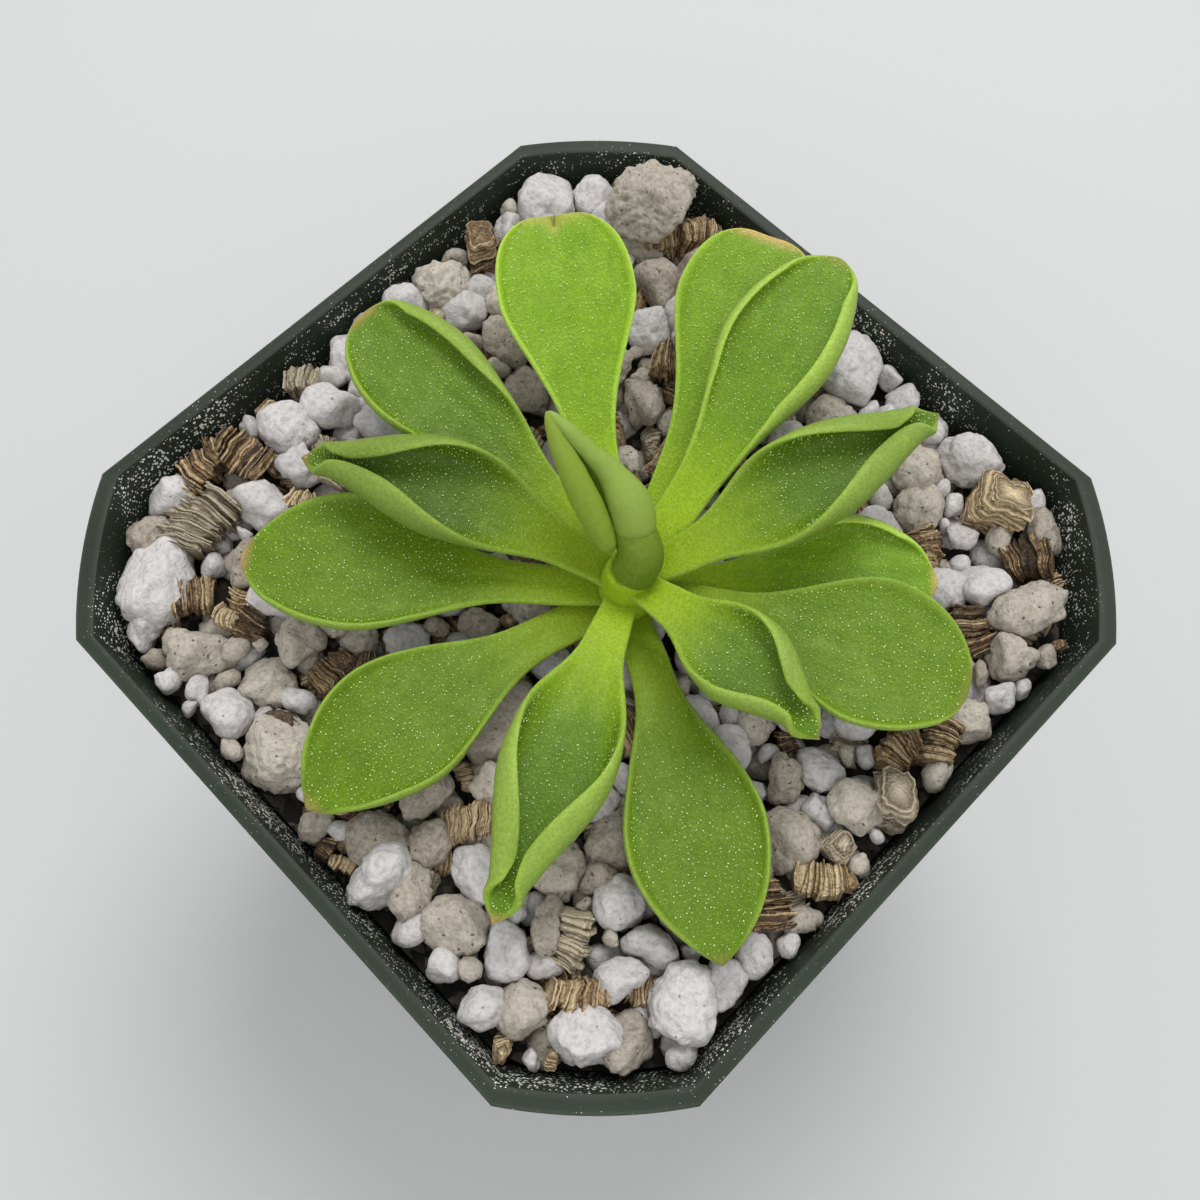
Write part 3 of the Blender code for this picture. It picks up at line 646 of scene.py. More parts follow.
@dataclass(frozen=True)
class ExpandedVermiculite:
    """Mica flakes puffed by heat: brown-gold leaves in a stack, with painted shade in the gaps and metallic
    glints.
    """

    # Painted shade for the gaps between the sheets
    gap: str = "#5E4A32"
    dark: str = "#2F2720"
    brown: str = "#A98558"
    gold: str = "#ECD6AC"
    silver: str = "#D2C8AE"
    roughness: float = 0.32
    flake_mm: float = 0.35
    sheets_per_mm: float = 6.0

    def build(self) -> bpy.types.Material:
        """Makes the material. It reads tone, silver, leaf (0 in a gap, which takes the painted shade) and
        sheet (mm up the stack).

        Returns:
            The material.
        """
        finish = Finish("expanded_vermiculite")
        add = finish.add
        place = add("TexCoord").outputs["Object"]
        names = ("tone", "silver", "leaf", "sheet")
        tone, silver, leaf, sheet = (
            add("Attribute", attribute_name=name).outputs["Fac"] for name in names
        )
        # Sheets of mica about 0.1 mm thick: each takes its own tone and stands out by its own bit
        up_the_stack = {"W": sheet, "Scale": self.sheets_per_mm, "Detail": 3.0, "Roughness": 0.7}
        sheets = add("TexNoise", up_the_stack, noise_dimensions="1D")
        cloud = add("TexNoise", {"Vector": place, "Scale": 1600.0, "Detail": 5.0, "Roughness": 0.7})
        lively = add("Math", {0: cloud, 1: 2.6, 2: -1.3}, operation="MULTIPLY_ADD")
        layered = add("Math", {0: sheets, 1: 3.4, 2: -1.7}, operation="MULTIPLY_ADD")
        uneven = add("Math", {0: lively, 1: layered}, operation="ADD")
        place_on_ramp = add("Math", {0: tone, 1: uneven}, operation="ADD", use_clamp=True)
        mica = add("ValToRGB", {0: place_on_ramp}, ((0.0, self.dark), (1.0, self.gold), (0.28, self.brown)))
        silvered = add("Mix", {0: silver, 6: mica, 7: self.silver}, data_type="RGBA")
        # Painted shade: the gaps between the sheets take the dark brown
        gap_shaded = add("Mix", {0: leaf, 6: self.gap, 7: silvered}, data_type="RGBA")
        glint = add("MapRange", {0: cloud, 1: 0.5, 2: 0.66, 3: 0.0, 4: 0.5})
        flakes = add("TexVoronoi", {"Vector": place, "Scale": 1.0 / (self.flake_mm * MM)})
        height = add("Math", {0: cloud, 1: flakes}, operation="ADD")
        ledges = add("Math", {0: sheets, 1: 1.4, 2: height}, operation="MULTIPLY_ADD")
        bump = add("Bump", {"Strength": 0.85, "Distance": 0.3 * MM, "Height": ledges})
        return finish.done(
            {"Base Color": gap_shaded, "Metallic": glint, "Normal": bump, "Roughness": self.roughness}
        )


@dataclass(frozen=True)
class BedFines:
    """Mineral dust settled between the grains, crumbly, and painted nearly black for the shade far down in
    the gaps.
    """

    # Painted shade: the ground is nearly black for the shade far down between the grains
    body: str = "#1B1815"
    fleck: str = "#5A5147"
    fleck_mm: float = 0.9

    def build(self) -> bpy.types.Material:
        """Makes the material: flecks on a near-black ground, painted shade for the gaps.

        Returns:
            The material.
        """
        finish = Finish("fines_and_gap_shade")
        add = finish.add
        place = add("TexCoord").outputs["Object"]
        crumbs = add("TexVoronoi", {"Vector": place, "Scale": 1.0 / (self.fleck_mm * MM)})
        pick = add("SeparateColor", {"Color": crumbs.outputs["Color"]})
        share = add("MapRange", {0: pick.outputs["Red"], 1: 0.55, 2: 1.0, 3: 0.0, 4: 0.8})
        colour = add("Mix", {0: share, 6: self.body, 7: self.fleck}, data_type="RGBA")
        bump = add("Bump", {"Strength": 1.0, "Distance": 0.4 * MM, "Height": crumbs}, invert=True)
        return finish.done({"Base Color": colour, "Normal": bump, "Roughness": 1.0})


@dataclass(frozen=True)
class PlantHair:
    """Fine dry leaf hair, grown: translucent and nearly white."""

    body: str = "#CBD69C"
    tip: str = "#AFC173"

    def build(self) -> bpy.types.Material:
        """Makes the material, with a faint change of tone along each hair.

        Returns:
            The material.
        """
        finish = Finish("leaf_hair")
        add = finish.add
        place = add("TexCoord").outputs["Object"]
        tone = add("TexNoise", {"Vector": place, "Scale": 800.0})
        mix = add("Mix", {0: tone, 6: self.body, 7: self.tip}, data_type="RGBA")
        return finish.done({"Base Color": mix, "Roughness": 0.4})


@dataclass(frozen=True)
class PaperFloor:
    """Matt white backdrop paper: plain, with no pattern that shows."""

    body: str = "#C3C3C2"

    def build(self) -> bpy.types.Material:
        """Makes the material."""
        finish = Finish("backdrop_paper")
        return finish.done({"Base Color": self.body, "Roughness": 0.9, "Specular IOR Level": 0.2})


@dataclass(frozen=True)
class NurseryPot:
    """The moulded pot: a tapered square shell with cut corners, a rim band, a foot and drain holes."""

    across: float = 88.0
    height: float = 80.0
    corner_ratio: float = 1.221
    draft: float = math.tan(math.radians(9.0))
    wall: float = 1.6
    band: float = 9.0
    step: float = 0.7
    floor: float = 2.2
    foot: float = 5.0
    recess: float = 1.2
    drain_radius: float = 4.0
    drain_reach: float = 26.0
    drain_sides: int = 32
    arc_steps: int = 14
    flat_steps: int = 12

    def inner_half(self, height: np.ndarray | float) -> np.ndarray | float:
        """Half the inside width across the flats at a height."""
        return self.across / 2 - self.wall - (self.height - height) * self.draft

    def outer_half(self, height: float) -> float:
        """Half the outside width across the flats, below the rim band."""
        return self.across / 2 - self.step - (self.height - height) * self.draft

    def ring(self, half: float, angles: np.ndarray, height: float) -> np.ndarray:
        """The plan at one height: four flats cut by a circle about the axis, of radius ratio times half.

        Args:
            half: Half the width across the flats.
            angles: Where round the axis the points lie.
            height: The ring's height.

        Returns:
            One point for each angle.
        """
        fold = np.abs((angles + math.pi / 4) % (math.pi / 2) - math.pi / 4)
        reach = half * np.minimum(self.corner_ratio, 1.0 / np.cos(fold))
        return np.column_stack([reach * np.cos(angles), reach * np.sin(angles), np.full(len(angles), height)])

    def ring_angles(self) -> np.ndarray:
        """The angles of a ring's points: even steps along each arc and along each flat.

        Returns:
            Angles from the first flat, anticlockwise, in radians.
        """
        start = math.acos(1.0 / self.corner_ratio)
        arc = np.linspace(start, math.pi / 2 - start, self.arc_steps + 1)
        side = np.arctan(np.linspace(-math.tan(start), math.tan(start), self.flat_steps + 1)[1:-1])
        quarter = np.concatenate([side, arc])
        return np.concatenate([quarter + turn * math.pi / 2 for turn in range(4)])

    def profile(self) -> list[tuple[float, float, float, float]]:
        """Follows the wall from the recess under the foot, out, up and over the rim, to the floor.

        Returns:
            Half width, height, dust and painted highlight of each ring.
        """
        ledge = self.height - self.band
        edge = self.across / 2
        foot = self.outer_half(0.0)
        top = self.height
        # The fourth number of each ring is its share of painted highlight, most on the rounded edges of rim
        # and foot
        rings = [
            (foot - self.foot, self.recess, 0.0, 0.2),
            (foot - self.foot + 0.05, 0.15, 0.0, 0.6),
            (foot - self.foot + 0.25, 0.0, 0.0, 0.6),
            (foot - 0.5, 0.0, 0.0, 0.6),
            (foot - 0.1, 0.12, 0.0, 0.9),
            (self.outer_half(0.6), 0.6, 0.0, 0.7),
        ]
        for share in np.linspace(0.06, 1.0, 12):
            rings.append((self.outer_half(share * ledge), share * ledge, 0.08, 0.15))
        rings += [
            (self.outer_half(ledge) + 0.12, ledge + 0.02, 0.1, 0.3),
            (edge - 0.3, ledge + 0.05, 0.1, 0.6),
            (edge - 0.08, ledge + 0.14, 0.1, 0.9),
            (edge, ledge + 0.4, 0.12, 0.8),
            (edge, ledge + 3.0, 0.12, 0.3),
            (edge, top - 3.0, 0.18, 0.3),
            (edge, top - 0.5, 0.3, 0.5),
            (edge - 0.05, top - 0.18, 0.3, 1.0),
            (edge - 0.22, top - 0.02, 0.3, 1.0),
            (edge - 0.34, top, 0.25, 0.45),
            (edge - 0.90, top, 0.25, 0.3),
            (edge - 1.30, top - 0.01, 0.3, 0.3),
            (edge - 1.50, top - 0.12, 0.5, 0.4),
            (edge - 1.60, top - 0.45, 0.8, 0.0),
        ]
        for share in np.linspace(0.02, 0.14, 6):
            height = top - share * (top - self.floor)
            rings.append((float(self.inner_half(height)), height, 1.0, 0.0))
        for share in (0.3, 0.6, 0.98):
            height = top - share * (top - self.floor)
            rings.append((float(self.inner_half(height)), height, 0.6, 0.0))
        rings.append((float(self.inner_half(self.floor)) - 0.3, self.floor, 0.4, 0.0))
        return rings

    def build(self, finish: MouldedPolypropylene) -> None:
        """Makes the shell through all rings, then cuts the five drain holes through its floor.

        Args:
            finish: The pot's plastic.
        """
        profile = self.profile()
        angles = self.ring_angles()
        count = len(angles)
        rings = [self.ring(half, angles, height) for half, height, _, _ in profile]
        values = {
            "dusty": np.repeat([dust for _, _, dust, _ in profile], count),
            "edge": np.repeat([edge for _, _, _, edge in profile], count),
        }
        material = finish.build()
        pot = make_mesh("nursery_pot", np.vstack(rings), tube_faces(len(rings), count), material, values)
        self.drill(pot, material)
        pot.data.set_sharp_from_angle(angle=math.radians(40))
        fix_piece(pot, ["pot"])

    def drill(self, pot: bpy.types.Object, material: bpy.types.Material) -> None:
        """Cuts round holes through the floor, in the middle and towards the corners.

        Args:
            pot: The shell, which is changed.
            material: The finish of the holes' walls.
        """
        corners = np.radians([45.0, 135.0, 225.0, 315.0])
        spots = self.drain_reach * np.column_stack([np.cos(corners), np.sin(corners)])
        turn = even_turns(self.drain_sides)
        ring = self.drain_radius * np.column_stack([np.cos(turn), np.sin(turn)])
        points, faces = [], []
        for number, spot in enumerate(np.vstack([[0.0, 0.0], spots])):
            points += [np.column_stack([spot + ring, 0.0 * turn + z]) for z in (-1.0, self.floor + 1.0)]
            faces += tube_faces(2, self.drain_sides, 2 * number * self.drain_sides)
        cutter = make_mesh("drain_cutter", np.vstack(points), faces, material)
        modifier = pot.modifiers.new("drains", "BOOLEAN")
        modifier.operation = "DIFFERENCE"
        modifier.object = cutter
        graph = bpy.context.evaluated_depsgraph_get()
        mesh = bpy.data.meshes.new_from_object(pot.evaluated_get(graph))
        pot.modifiers.clear()
        pot.data = mesh
        bpy.data.objects.remove(cutter)


class GrainKind(Enum):
    """The three minerals of the mix."""

    PERLITE = "perlite"
    PUMICE = "pumice"
    VERMICULITE = "vermiculite"


@dataclass(frozen=True)
class Grain:
    """One grain: where it lies, its middle's lift above the bed, its half sizes and its turn."""

    kind: GrainKind
    x: float
    y: float
    lift: float
    long: float
    wide: float
    high: float
    turn: float


PERLITE, PUMICE, VERMICULITE = GrainKind


def drawn_kind(rng: np.random.Generator, shares: Sequence[float]) -> GrainKind:
    """Draws a mineral by the minerals' shares of the mix."""
    return tuple(GrainKind)[int(rng.choice(3, p=shares))]


# The grains that can be told apart from the top, placed as in the source of the solids
LARGE_GRAINS = (
    Grain(PUMICE, -27.0, 35.0, 0.2, 5.0, 4.2, 3.6, 10),
    Grain(PUMICE, -27.0, 36.6, 4.8, 5.4, 4.6, 4.0, 44),
    Grain(PERLITE, -38.0, 29.0, 1.8, 4.2, 3.4, 3.6, 140),
    Grain(PERLITE, -34.5, 33.5, 1.1, 2.8, 2.6, 3.0, 0),
    Grain(PERLITE, -32.0, -34.5, 1.8, 5.2, 4.2, 4.0, 120),
    Grain(PUMICE, -8.0, -38.0, 1.5, 4.9, 4.2, 4.0, 20),
    Grain(PERLITE, 8.0, -38.5, 1.5, 3.7, 3.2, 3.4, 44),
    Grain(PERLITE, 37.0, -25.0, 1.5, 3.9, 3.6, 3.6, 100),
    Grain(PERLITE, 32.5, -34.0, 1.5, 3.7, 3.0, 3.2, 44),
    Grain(PERLITE, -36.0, -12.5, 1.5, 3.7, 3.0, 3.2, 30),
    Grain(PUMICE, -38.0, 12.0, 1.1, 3.5, 3.2, 3.2, 44),
    Grain(PERLITE, -39.5, 7.0, 1.1, 3.2, 2.5, 3.0, 120),
    Grain(PERLITE, 3.0, 37.5, 1.8, 4.4, 3.8, 3.8, 130),
    Grain(PERLITE, 20.0, 38.5, 1.1, 3.6, 3.1, 3.2, 30),
    Grain(PUMICE, 35.5, 29.0, 1.8, 4.9, 2.6, 2.8, 66),
    Grain(PUMICE, 37.5, 23.5, 1.1, 2.9, 2.4, 2.6, 30),
    Grain(PUMICE, 36.5, 0.5, 1.1, 3.1, 2.7, 3.0, 20),
    Grain(PUMICE, 29.5, -2.5, 1.1, 2.8, 2.0, 2.6, 134),
    Grain(PUMICE, 4.5, -18.5, 0.6, 5.2, 4.5, 3.4, 120),
    Grain(PUMICE, 26.5, -36.5, 1.1, 3.2, 2.8, 3.0, 120),
    Grain(PUMICE, 35.5, -31.5, 0.8, 3.2, 2.8, 3.0, 80),
    Grain(PERLITE, 24.0, -39.0, 1.1, 2.3, 2.2, 2.6, 44),
    Grain(VERMICULITE, -34.0, -26.5, 1.5, 4.6, 3.8, 3.4, 100),
    Grain(VERMICULITE, 29.5, -32.0, 1.5, 3.2, 1.9, 2.6, 46),
    Grain(VERMICULITE, 25.5, 36.0, 1.8, 3.6, 3.4, 3.0, 20),
    Grain(VERMICULITE, -37.0, -18.5, 1.8, 3.6, 2.6, 3.0, 10),
    Grain(VERMICULITE, -38.5, -22.5, 1.8, 3.2, 2.4, 2.8, 100),
    Grain(VERMICULITE, -39.5, -7.5, 1.1, 2.1, 1.8, 2.6, 44),
    Grain(VERMICULITE, -38.5, 19.0, 1.5, 3.0, 2.1, 2.8, 150),
    Grain(VERMICULITE, -24.5, 34.5, 1.5, 2.8, 2.3, 2.6, 44),
    Grain(VERMICULITE, -22.0, 38.5, 1.5, 2.8, 2.6, 2.8, 44),
    Grain(VERMICULITE, 38.5, -7.5, 1.1, 3.1, 2.0, 2.6, 40),
    Grain(VERMICULITE, 38.5, 3.0, 1.5, 3.6, 2.2, 3.0, 120),
    Grain(VERMICULITE, 38.0, 11.5, 1.1, 2.9, 2.2, 2.8, 110),
    Grain(VERMICULITE, 32.0, 33.5, 1.5, 2.9, 2.5, 2.8, 44),
    Grain(VERMICULITE, -28.0, -33.0, 0.8, 2.9, 2.3, 2.6, 60),
    Grain(VERMICULITE, -10.0, -35.0, 0.8, 2.4, 2.0, 2.6, 10),
    Grain(VERMICULITE, 25.5, -28.5, 1.1, 3.1, 2.0, 2.6, 120),
    Grain(PERLITE, 30.5, 28.0, 1.1, 2.9, 2.6, 2.8, 44),
    Grain(PUMICE, 31.0, 37.0, 1.1, 3.0, 2.4, 2.8, 110),
    Grain(PERLITE, 38.5, -21.5, 1.1, 3.1, 2.2, 2.8, 100),
    Grain(PERLITE, 31.0, -23.5, 1.1, 3.1, 2.2, 2.6, 20),
    Grain(PUMICE, -23.0, -36.0, 1.1, 3.8, 3.2, 3.0, 60),
    Grain(PERLITE, -31.0, -20.5, 1.5, 3.4, 3.0, 3.0, 44),
    Grain(PERLITE, -38.5, -27.0, 1.1, 3.6, 2.2, 2.8, 60),
    Grain(PUMICE, -37.5, -32.5, 1.1, 2.7, 2.4, 2.8, 44),
    Grain(PERLITE, -35.0, -7.5, 1.1, 3.5, 2.9, 3.0, 50),
    Grain(PERLITE, -33.5, 11.5, 1.1, 2.9, 2.5, 2.8, 44),
    Grain(PUMICE, -11.0, 18.5, 0.8, 3.6, 2.4, 3.0, 134),
    Grain(PERLITE, -30.0, 32.5, 1.1, 3.8, 3.0, 3.2, 120),
    Grain(PUMICE, 11.0, -36.5, 0.8, 3.1, 2.3, 2.8, 120),
    Grain(PUMICE, 5.0, -35.5, 0.8, 3.6, 2.7, 2.8, 44),
    Grain(PERLITE, -15.5, -38.0, 1.1, 3.2, 2.5, 2.8, 20),
    Grain(PERLITE, -28.5, -38.5, 1.1, 2.6, 2.0, 2.6, 134),
    Grain(PERLITE, 22.0, -34.0, 0.8, 3.1, 2.5, 2.8, 134),
    Grain(PUMICE, 23.0, -29.5, 0.8, 3.4, 1.8, 2.8, 134),
)


@dataclass
class Heap:
    """Points, faces and values of many grains, gathered for one mesh."""

    points: list[np.ndarray]
    faces: list[np.ndarray]
    values: dict[str, list[np.ndarray]]
    count: int = 0

    def add(self, points: np.ndarray, faces: np.ndarray, values: Mapping[str, np.ndarray | float]) -> None:
        """Adds one grain.

        Args:
            points: Its points.
            faces: Its triangles.
            values: Its values for each attribute, one for all points or one for each.
        """
        self.points.append(points)
        self.faces.append(faces + self.count)
        self.count += len(points)
        for key, value in values.items():
            spread = np.broadcast_to(np.asarray(value, float), (len(points),))
            self.values.setdefault(key, []).append(spread)


@dataclass(frozen=True)
class StoneForm:
    """How a mineral breaks: its lumps, its flat breaks, its swells and its dents, in mm where real."""

    lumps: int
    spread: float
    breaks: int
    break_depth: float
    crispness: float
    swells: tuple[tuple[float, float], ...]
    dent_spacing: float
    dent_radius: float
    dent_depth: float

    def shape(self, way: np.ndarray, half_sizes: tuple[float, float, float], seed: int) -> np.ndarray:
        """Shapes a ball's points into a stone.

        Each lump is a sphere round its own middle, and the radius in a direction is the power mean
        (power 12) of the lumps' far sides. Flat breaks then cut it back: 1/r is the root of the sum
        of powers of 1/r and n·d/depth. The stone is fitted to its half sizes. Noise in real
        millimetres moves its skin in and out: the second swell is the noise's size without its
        sign, which leaves creases between bulges. Round dents then go in.

        Args:
            way: Unit directions of the ball's points.
            half_sizes: Half the stone's length, width and height.
            seed: The stone's own number.

        Returns:
            The stone's points about its own middle.
        """
        rng = np.random.default_rng(seed)
        middles = rng.normal(size=(self.lumps, 3))
        middles *= (rng.uniform(0.12, self.spread, self.lumps) / np.linalg.norm(middles, axis=1))[:, None]
        radii = rng.uniform(0.52, 0.78, self.lumps)
        toward = way @ middles.T
        sides = toward + np.sqrt(toward**2 + radii**2 - (middles**2).sum(axis=1))
        reach = (sides**12.0).sum(axis=1) ** (1.0 / 12.0)
        planes = unit_rows(rng.normal(size=(self.breaks, 3)))
        depths = rng.uniform(self.break_depth, 1.0, self.breaks) * reach.mean() * 1.1
        cuts = np.maximum(way @ planes.T / depths, 0.0) ** self.crispness
        reach = (reach**-self.crispness + cuts.sum(axis=1)) ** (-1.0 / self.crispness)
        points = way * reach[:, None]
        low, high = points.min(axis=0), points.max(axis=0)
        points = (points - (low + high) / 2) * (2.0 / (high - low)) * half_sizes
        size = min(1.0, min(half_sizes) / 2.4) ** 0.6
        field = points + 50.0 * rng.random(3)
        skin = np.zeros(len(points))
        for step, (wave, height) in enumerate(self.swells):
            noise = layered_noise(field / wave, seed + 5 * step, 2)
            skin += height * (noise if step != 1 else 2.0 * np.abs(noise) - 0.7)
        spot = pit_distance(field / self.dent_spacing, seed + 9) * self.dent_spacing
        skin -= self.dent_depth * (1.0 - smooth_step(spot, 0.35 * self.dent_radius, self.dent_radius))
        return points + way * (size * skin)[:, None]


STONE_FORMS = {
    PERLITE: StoneForm(3, 0.50, 8, 0.64, 18.0, ((3.0, 0.38), (1.7, 0.18), (0.6, 0.09)), 2.2, 0.7, 0.34),
    PUMICE: StoneForm(4, 0.50, 11, 0.60, 26.0, ((2.6, 0.34), (1.2, 0.22), (0.5, 0.13)), 1.1, 0.36, 0.38),
}


@dataclass(frozen=True)
class GritBed:
    """The mix in the pot: the grains of the solid bed, finer ones between and a layer below them."""

    pot: NurseryPot
    crown: tuple[float, float] = (4.6, -0.2)
    top: float = 72.0
    edge_rise: float = 3.0
    level_reach: float = 8.0
    edge_reach: float = 38.0
    seed: int = 11
    tries: int = 1600
    radii: tuple[float, ...] = (3.0, 2.6, 2.2)
    mix: tuple[float, ...] = (0.48, 0.32, 0.20)
    closeness: float = 0.80
    stem_radius: float = 2.0
    gap: float = 0.3
    wall_clearance: float = 0.4
    wall_share: float = 0.75
    fine_radii: tuple[float, ...] = (1.9, 1.6, 1.3, 1.0)
    fine_tries: int = 3000
    fine_closeness: float = 0.80
    fine_mix: tuple[float, ...] = (0.40, 0.32, 0.28)
    lower_pitch: float = 4.3
    lower_shake: float = 1.2
    lower_mix: tuple[float, ...] = (0.36, 0.40, 0.24)
    stack_length: float = 1.75
    stack_fill: float = 0.84
    leaf_pitch: float = 0.33
    leaf_fray: float = 0.13
    leaf_wave: float = 0.26
    stone_fill: float = 0.97
    fines_depth: float = 1.5
    fines_gap: float = 0.35
    fines_crumb: float = 0.6
    fines_sides: int = 96

    @property
    def reach(self) -> float:
        """Half the pot's inside width at the bed's level."""
        return float(self.pot.inner_half(self.top))

    def height_at(self, x: np.ndarray | float, y: np.ndarray | float) -> np.ndarray:
        """Height of the fill under the grains: level round the crown, and rising towards the wall."""
        away = np.hypot(np.subtract(x, self.crown[0]), np.subtract(y, self.crown[1]))
        return self.top + self.edge_rise * smooth_step(away, self.level_reach, self.edge_reach)

    def wall_room(self, x: float, y: float) -> float:
        """How far a point at the bed's edge level is from the pot's inner wall."""
        half = float(self.pot.inner_half(self.top + self.edge_rise))
        return min(half - max(abs(x), abs(y)), half * self.pot.corner_ratio - math.hypot(x, y))

    def stem_room(self, x: float, y: float) -> float:
        """How far a point is from the crown's stem."""
        return math.hypot(x - self.crown[0], y - self.crown[1]) - self.stem_radius - self.gap

    def scatter(self, rng: np.random.Generator) -> list[Grain]:
        """The large grains, then a seeded fill wherever each has room, largest first, as in the solids.

        Args:
            rng: The solids' own generator, which gives the same places.

        Returns:
            The grains of the solid bed.
        """
        grains = list(LARGE_GRAINS)
        for radius in self.radii:
            for x, y in rng.uniform(-self.reach, self.reach, (self.tries, 2)):
                size = radius * rng.uniform(0.9, 1.12)
                stretch = rng.uniform(0.82, 1.0)
                turn = rng.uniform(0.0, 360.0)
                lift = rng.uniform(-0.6, 0.6) + 0.3 * size
                kind = drawn_kind(rng, self.mix)
                near_wall = self.wall_room(x, y) < self.wall_share * size + self.wall_clearance
                if near_wall or self.stem_room(x, y) < size:
                    continue
                nearest = min(
                    math.hypot(x - g.x, y - g.y) - self.closeness * (size + (g.long + g.wide) / 2)
                    for g in grains
                )
                if nearest > 0.0:
                    grains.append(Grain(kind, x, y, lift, size, size * stretch, size * 0.85, turn))
        return grains

    def fine_fill(self, grains: Sequence[Grain], rng: np.random.Generator) -> list[Grain]:
        """Small grains in the gaps that the others leave, largest first.

        Args:
            grains: The larger grains.
            rng: A seeded generator.

        Returns:
            The small grains alone.
        """
        spots = np.array([(g.x, g.y, (g.long + g.wide) / 2) for g in grains])
        fill: list[Grain] = []
        for radius in self.fine_radii:
            places = rng.uniform(-self.reach, self.reach, (self.fine_tries, 2))
            sizes = radius * rng.uniform(0.85, 1.15, self.fine_tries)
            for (x, y), size in zip(places, sizes):
                if self.wall_room(x, y) < 0.8 * size or self.stem_room(x, y) < size:
                    continue
                apart = np.hypot(spots[:, 0] - x, spots[:, 1] - y)
                if (apart < self.fine_closeness * (size + spots[:, 2])).any():
                    continue
                kind = drawn_kind(rng, self.fine_mix)
                stretch, lift = rng.uniform(0.7, 1.0), rng.uniform(0.2, 1.6)
                fill.append(Grain(kind, x, y, lift, size * 1.1, size * stretch, size, rng.uniform(0, 360)))
                spots = np.vstack([spots, (x, y, size)])
        return fill

    def lower_layer(self, rng: np.random.Generator) -> list[Grain]:
        """Grains just below the surface, one to each cell of a shaken grid, seen through its gaps.

        Args:
            rng: A seeded generator.

        Returns:
            Those grains.
        """
        steps = np.arange(-self.reach, self.reach, self.lower_pitch)
        shake = self.lower_shake
        layer: list[Grain] = []
        for x, y in itertools.product(steps, steps):
            x, y = x + rng.uniform(-shake, shake), y + rng.uniform(-shake, shake)
            size = rng.uniform(1.9, 2.6)
            if self.wall_room(x, y) > 0.9 * size and self.stem_room(x, y) > size:
                kind = drawn_kind(rng, self.lower_mix)
                wide, lift = size * rng.uniform(0.75, 1.0), rng.uniform(-2.2, -1.2)
                layer.append(Grain(kind, x, y, lift, size, wide, size * 0.85, rng.uniform(0, 360)))
        return layer

    def settle(self, points: np.ndarray) -> np.ndarray:
        """Moves a grain's points in from the pot's wall until every one of them is clear of it.

        Args:
            points: The grain's points, which are changed.

        Returns:
            The same points.
        """
        room = self.pot.inner_half(points[:, 2]) - self.wall_clearance / 2
        for axis in (0, 1):
            side = math.copysign(1.0, points[:, axis].mean())
            points[:, axis] -= side * max(0.0, float((side * points[:, axis] - room).max()))
        reach = np.hypot(points[:, 0], points[:, 1])
        over = max(0.0, float((reach - room * self.pot.corner_ratio).max()))
        middle = points[:, :2].mean(axis=0)
        points[:, :2] -= over * middle / np.linalg.norm(middle)
        return points

    @staticmethod
    def stack_faces(rings: int, around: int) -> np.ndarray:
        """Triangles of a stack: two to each quad between its rings, and a fan at each end.

        Args:
            rings: How many rings it has.
            around: How many points each ring has, before the two points at the ends.

        Returns:
            The triangles.
        """
        quads, first, last = tube_faces(rings, around)
        near, far = first[0, ::-1], last[0]
        edges = (np.roll(near, -1), near), (far, np.roll(far, -1))
        ends = [np.full(around, rings * around + end) for end in (0, 1)]
        fans = [np.column_stack([end, *edge]) for end, edge in zip(ends, edges)]
        return np.concatenate([quads[:, [0, 1, 2]], quads[:, [0, 2, 3]], *fans])

    def stack(self, grain: Grain, seed: int) -> tuple[np.ndarray, np.ndarray, dict[str, np.ndarray]]:
        """The shape of a vermiculite grain: a bent stack of thin ragged leaves.

        Each leaf is three rings of one uneven superellipse (power 6) that stand out between gaps.
        Leaves differ in thickness, size, slip and tilt, noise frays their edges and makes all of
        them wavy, and the whole stack bends about an arc, so that its leaves fan out.

        Args:
            grain: Its sizes.
            seed: The grain's own number.

        Returns:
            Its points about its own middle, its triangles and its values.
        """
        rng = np.random.default_rng(seed)
        length = self.stack_length * grain.long
        leaves = max(5, round(length / self.leaf_pitch))
        around = 26 if grain.high > 2.0 else 16
        pace = rng.uniform(0.3, 1.9, leaves)
        ends = np.concatenate([[0.0], np.cumsum(pace)]) / pace.sum()
        place = (ends[:-1, None] + np.diff(ends)[:, None] * np.array([0.04, 0.40, 0.86])).ravel()
        c, s = np.cos(even_turns(around)), np.sin(even_turns(around))
        around_field = np.column_stack([c, s, 0.0 * c])
        rim = (np.abs(c) ** 6 + np.abs(s) ** 6) ** (-1.0 / 6.0)
        rim = rim * (0.94 + 0.26 * soft_noise(around_field * 1.6 + seed % 89, seed))
        gaps = 0.02 + 0.16 * rng.random(leaves + 1) ** 2
        rings = np.column_stack([1.0 - gaps[:-1], np.ones(leaves), np.full(leaves, 0.98)]).ravel()
        size = np.repeat(1.04 - 0.3 * rng.random(leaves) ** 2, 3) * rings
        size = size * (1.0 - 0.20 * np.abs(2 * place - 1) ** 3)
        slip = np.repeat(rng.uniform(-0.10, 0.10, (leaves, 2)), 3, axis=0)
        number = np.repeat(np.arange(leaves), 3)
        fray_at = around_field * 4.5 + np.column_stack([0 * number, 0 * number, 1.3 * number])[:, None]
        fray = 1.0 + self.leaf_fray * layered_noise(fray_at + seed % 97, seed)
        y = self.stack_fill * grain.wide * (size[:, None] * rim * c * fray + slip[:, :1])
        z = self.stack_fill * grain.high * (size[:, None] * rim * s * fray + slip[:, 1:])
        tilt = np.repeat(rng.normal(0.0, 0.07, (leaves, 2)), 3, axis=0) + rng.uniform(-0.22, 0.22, 2)
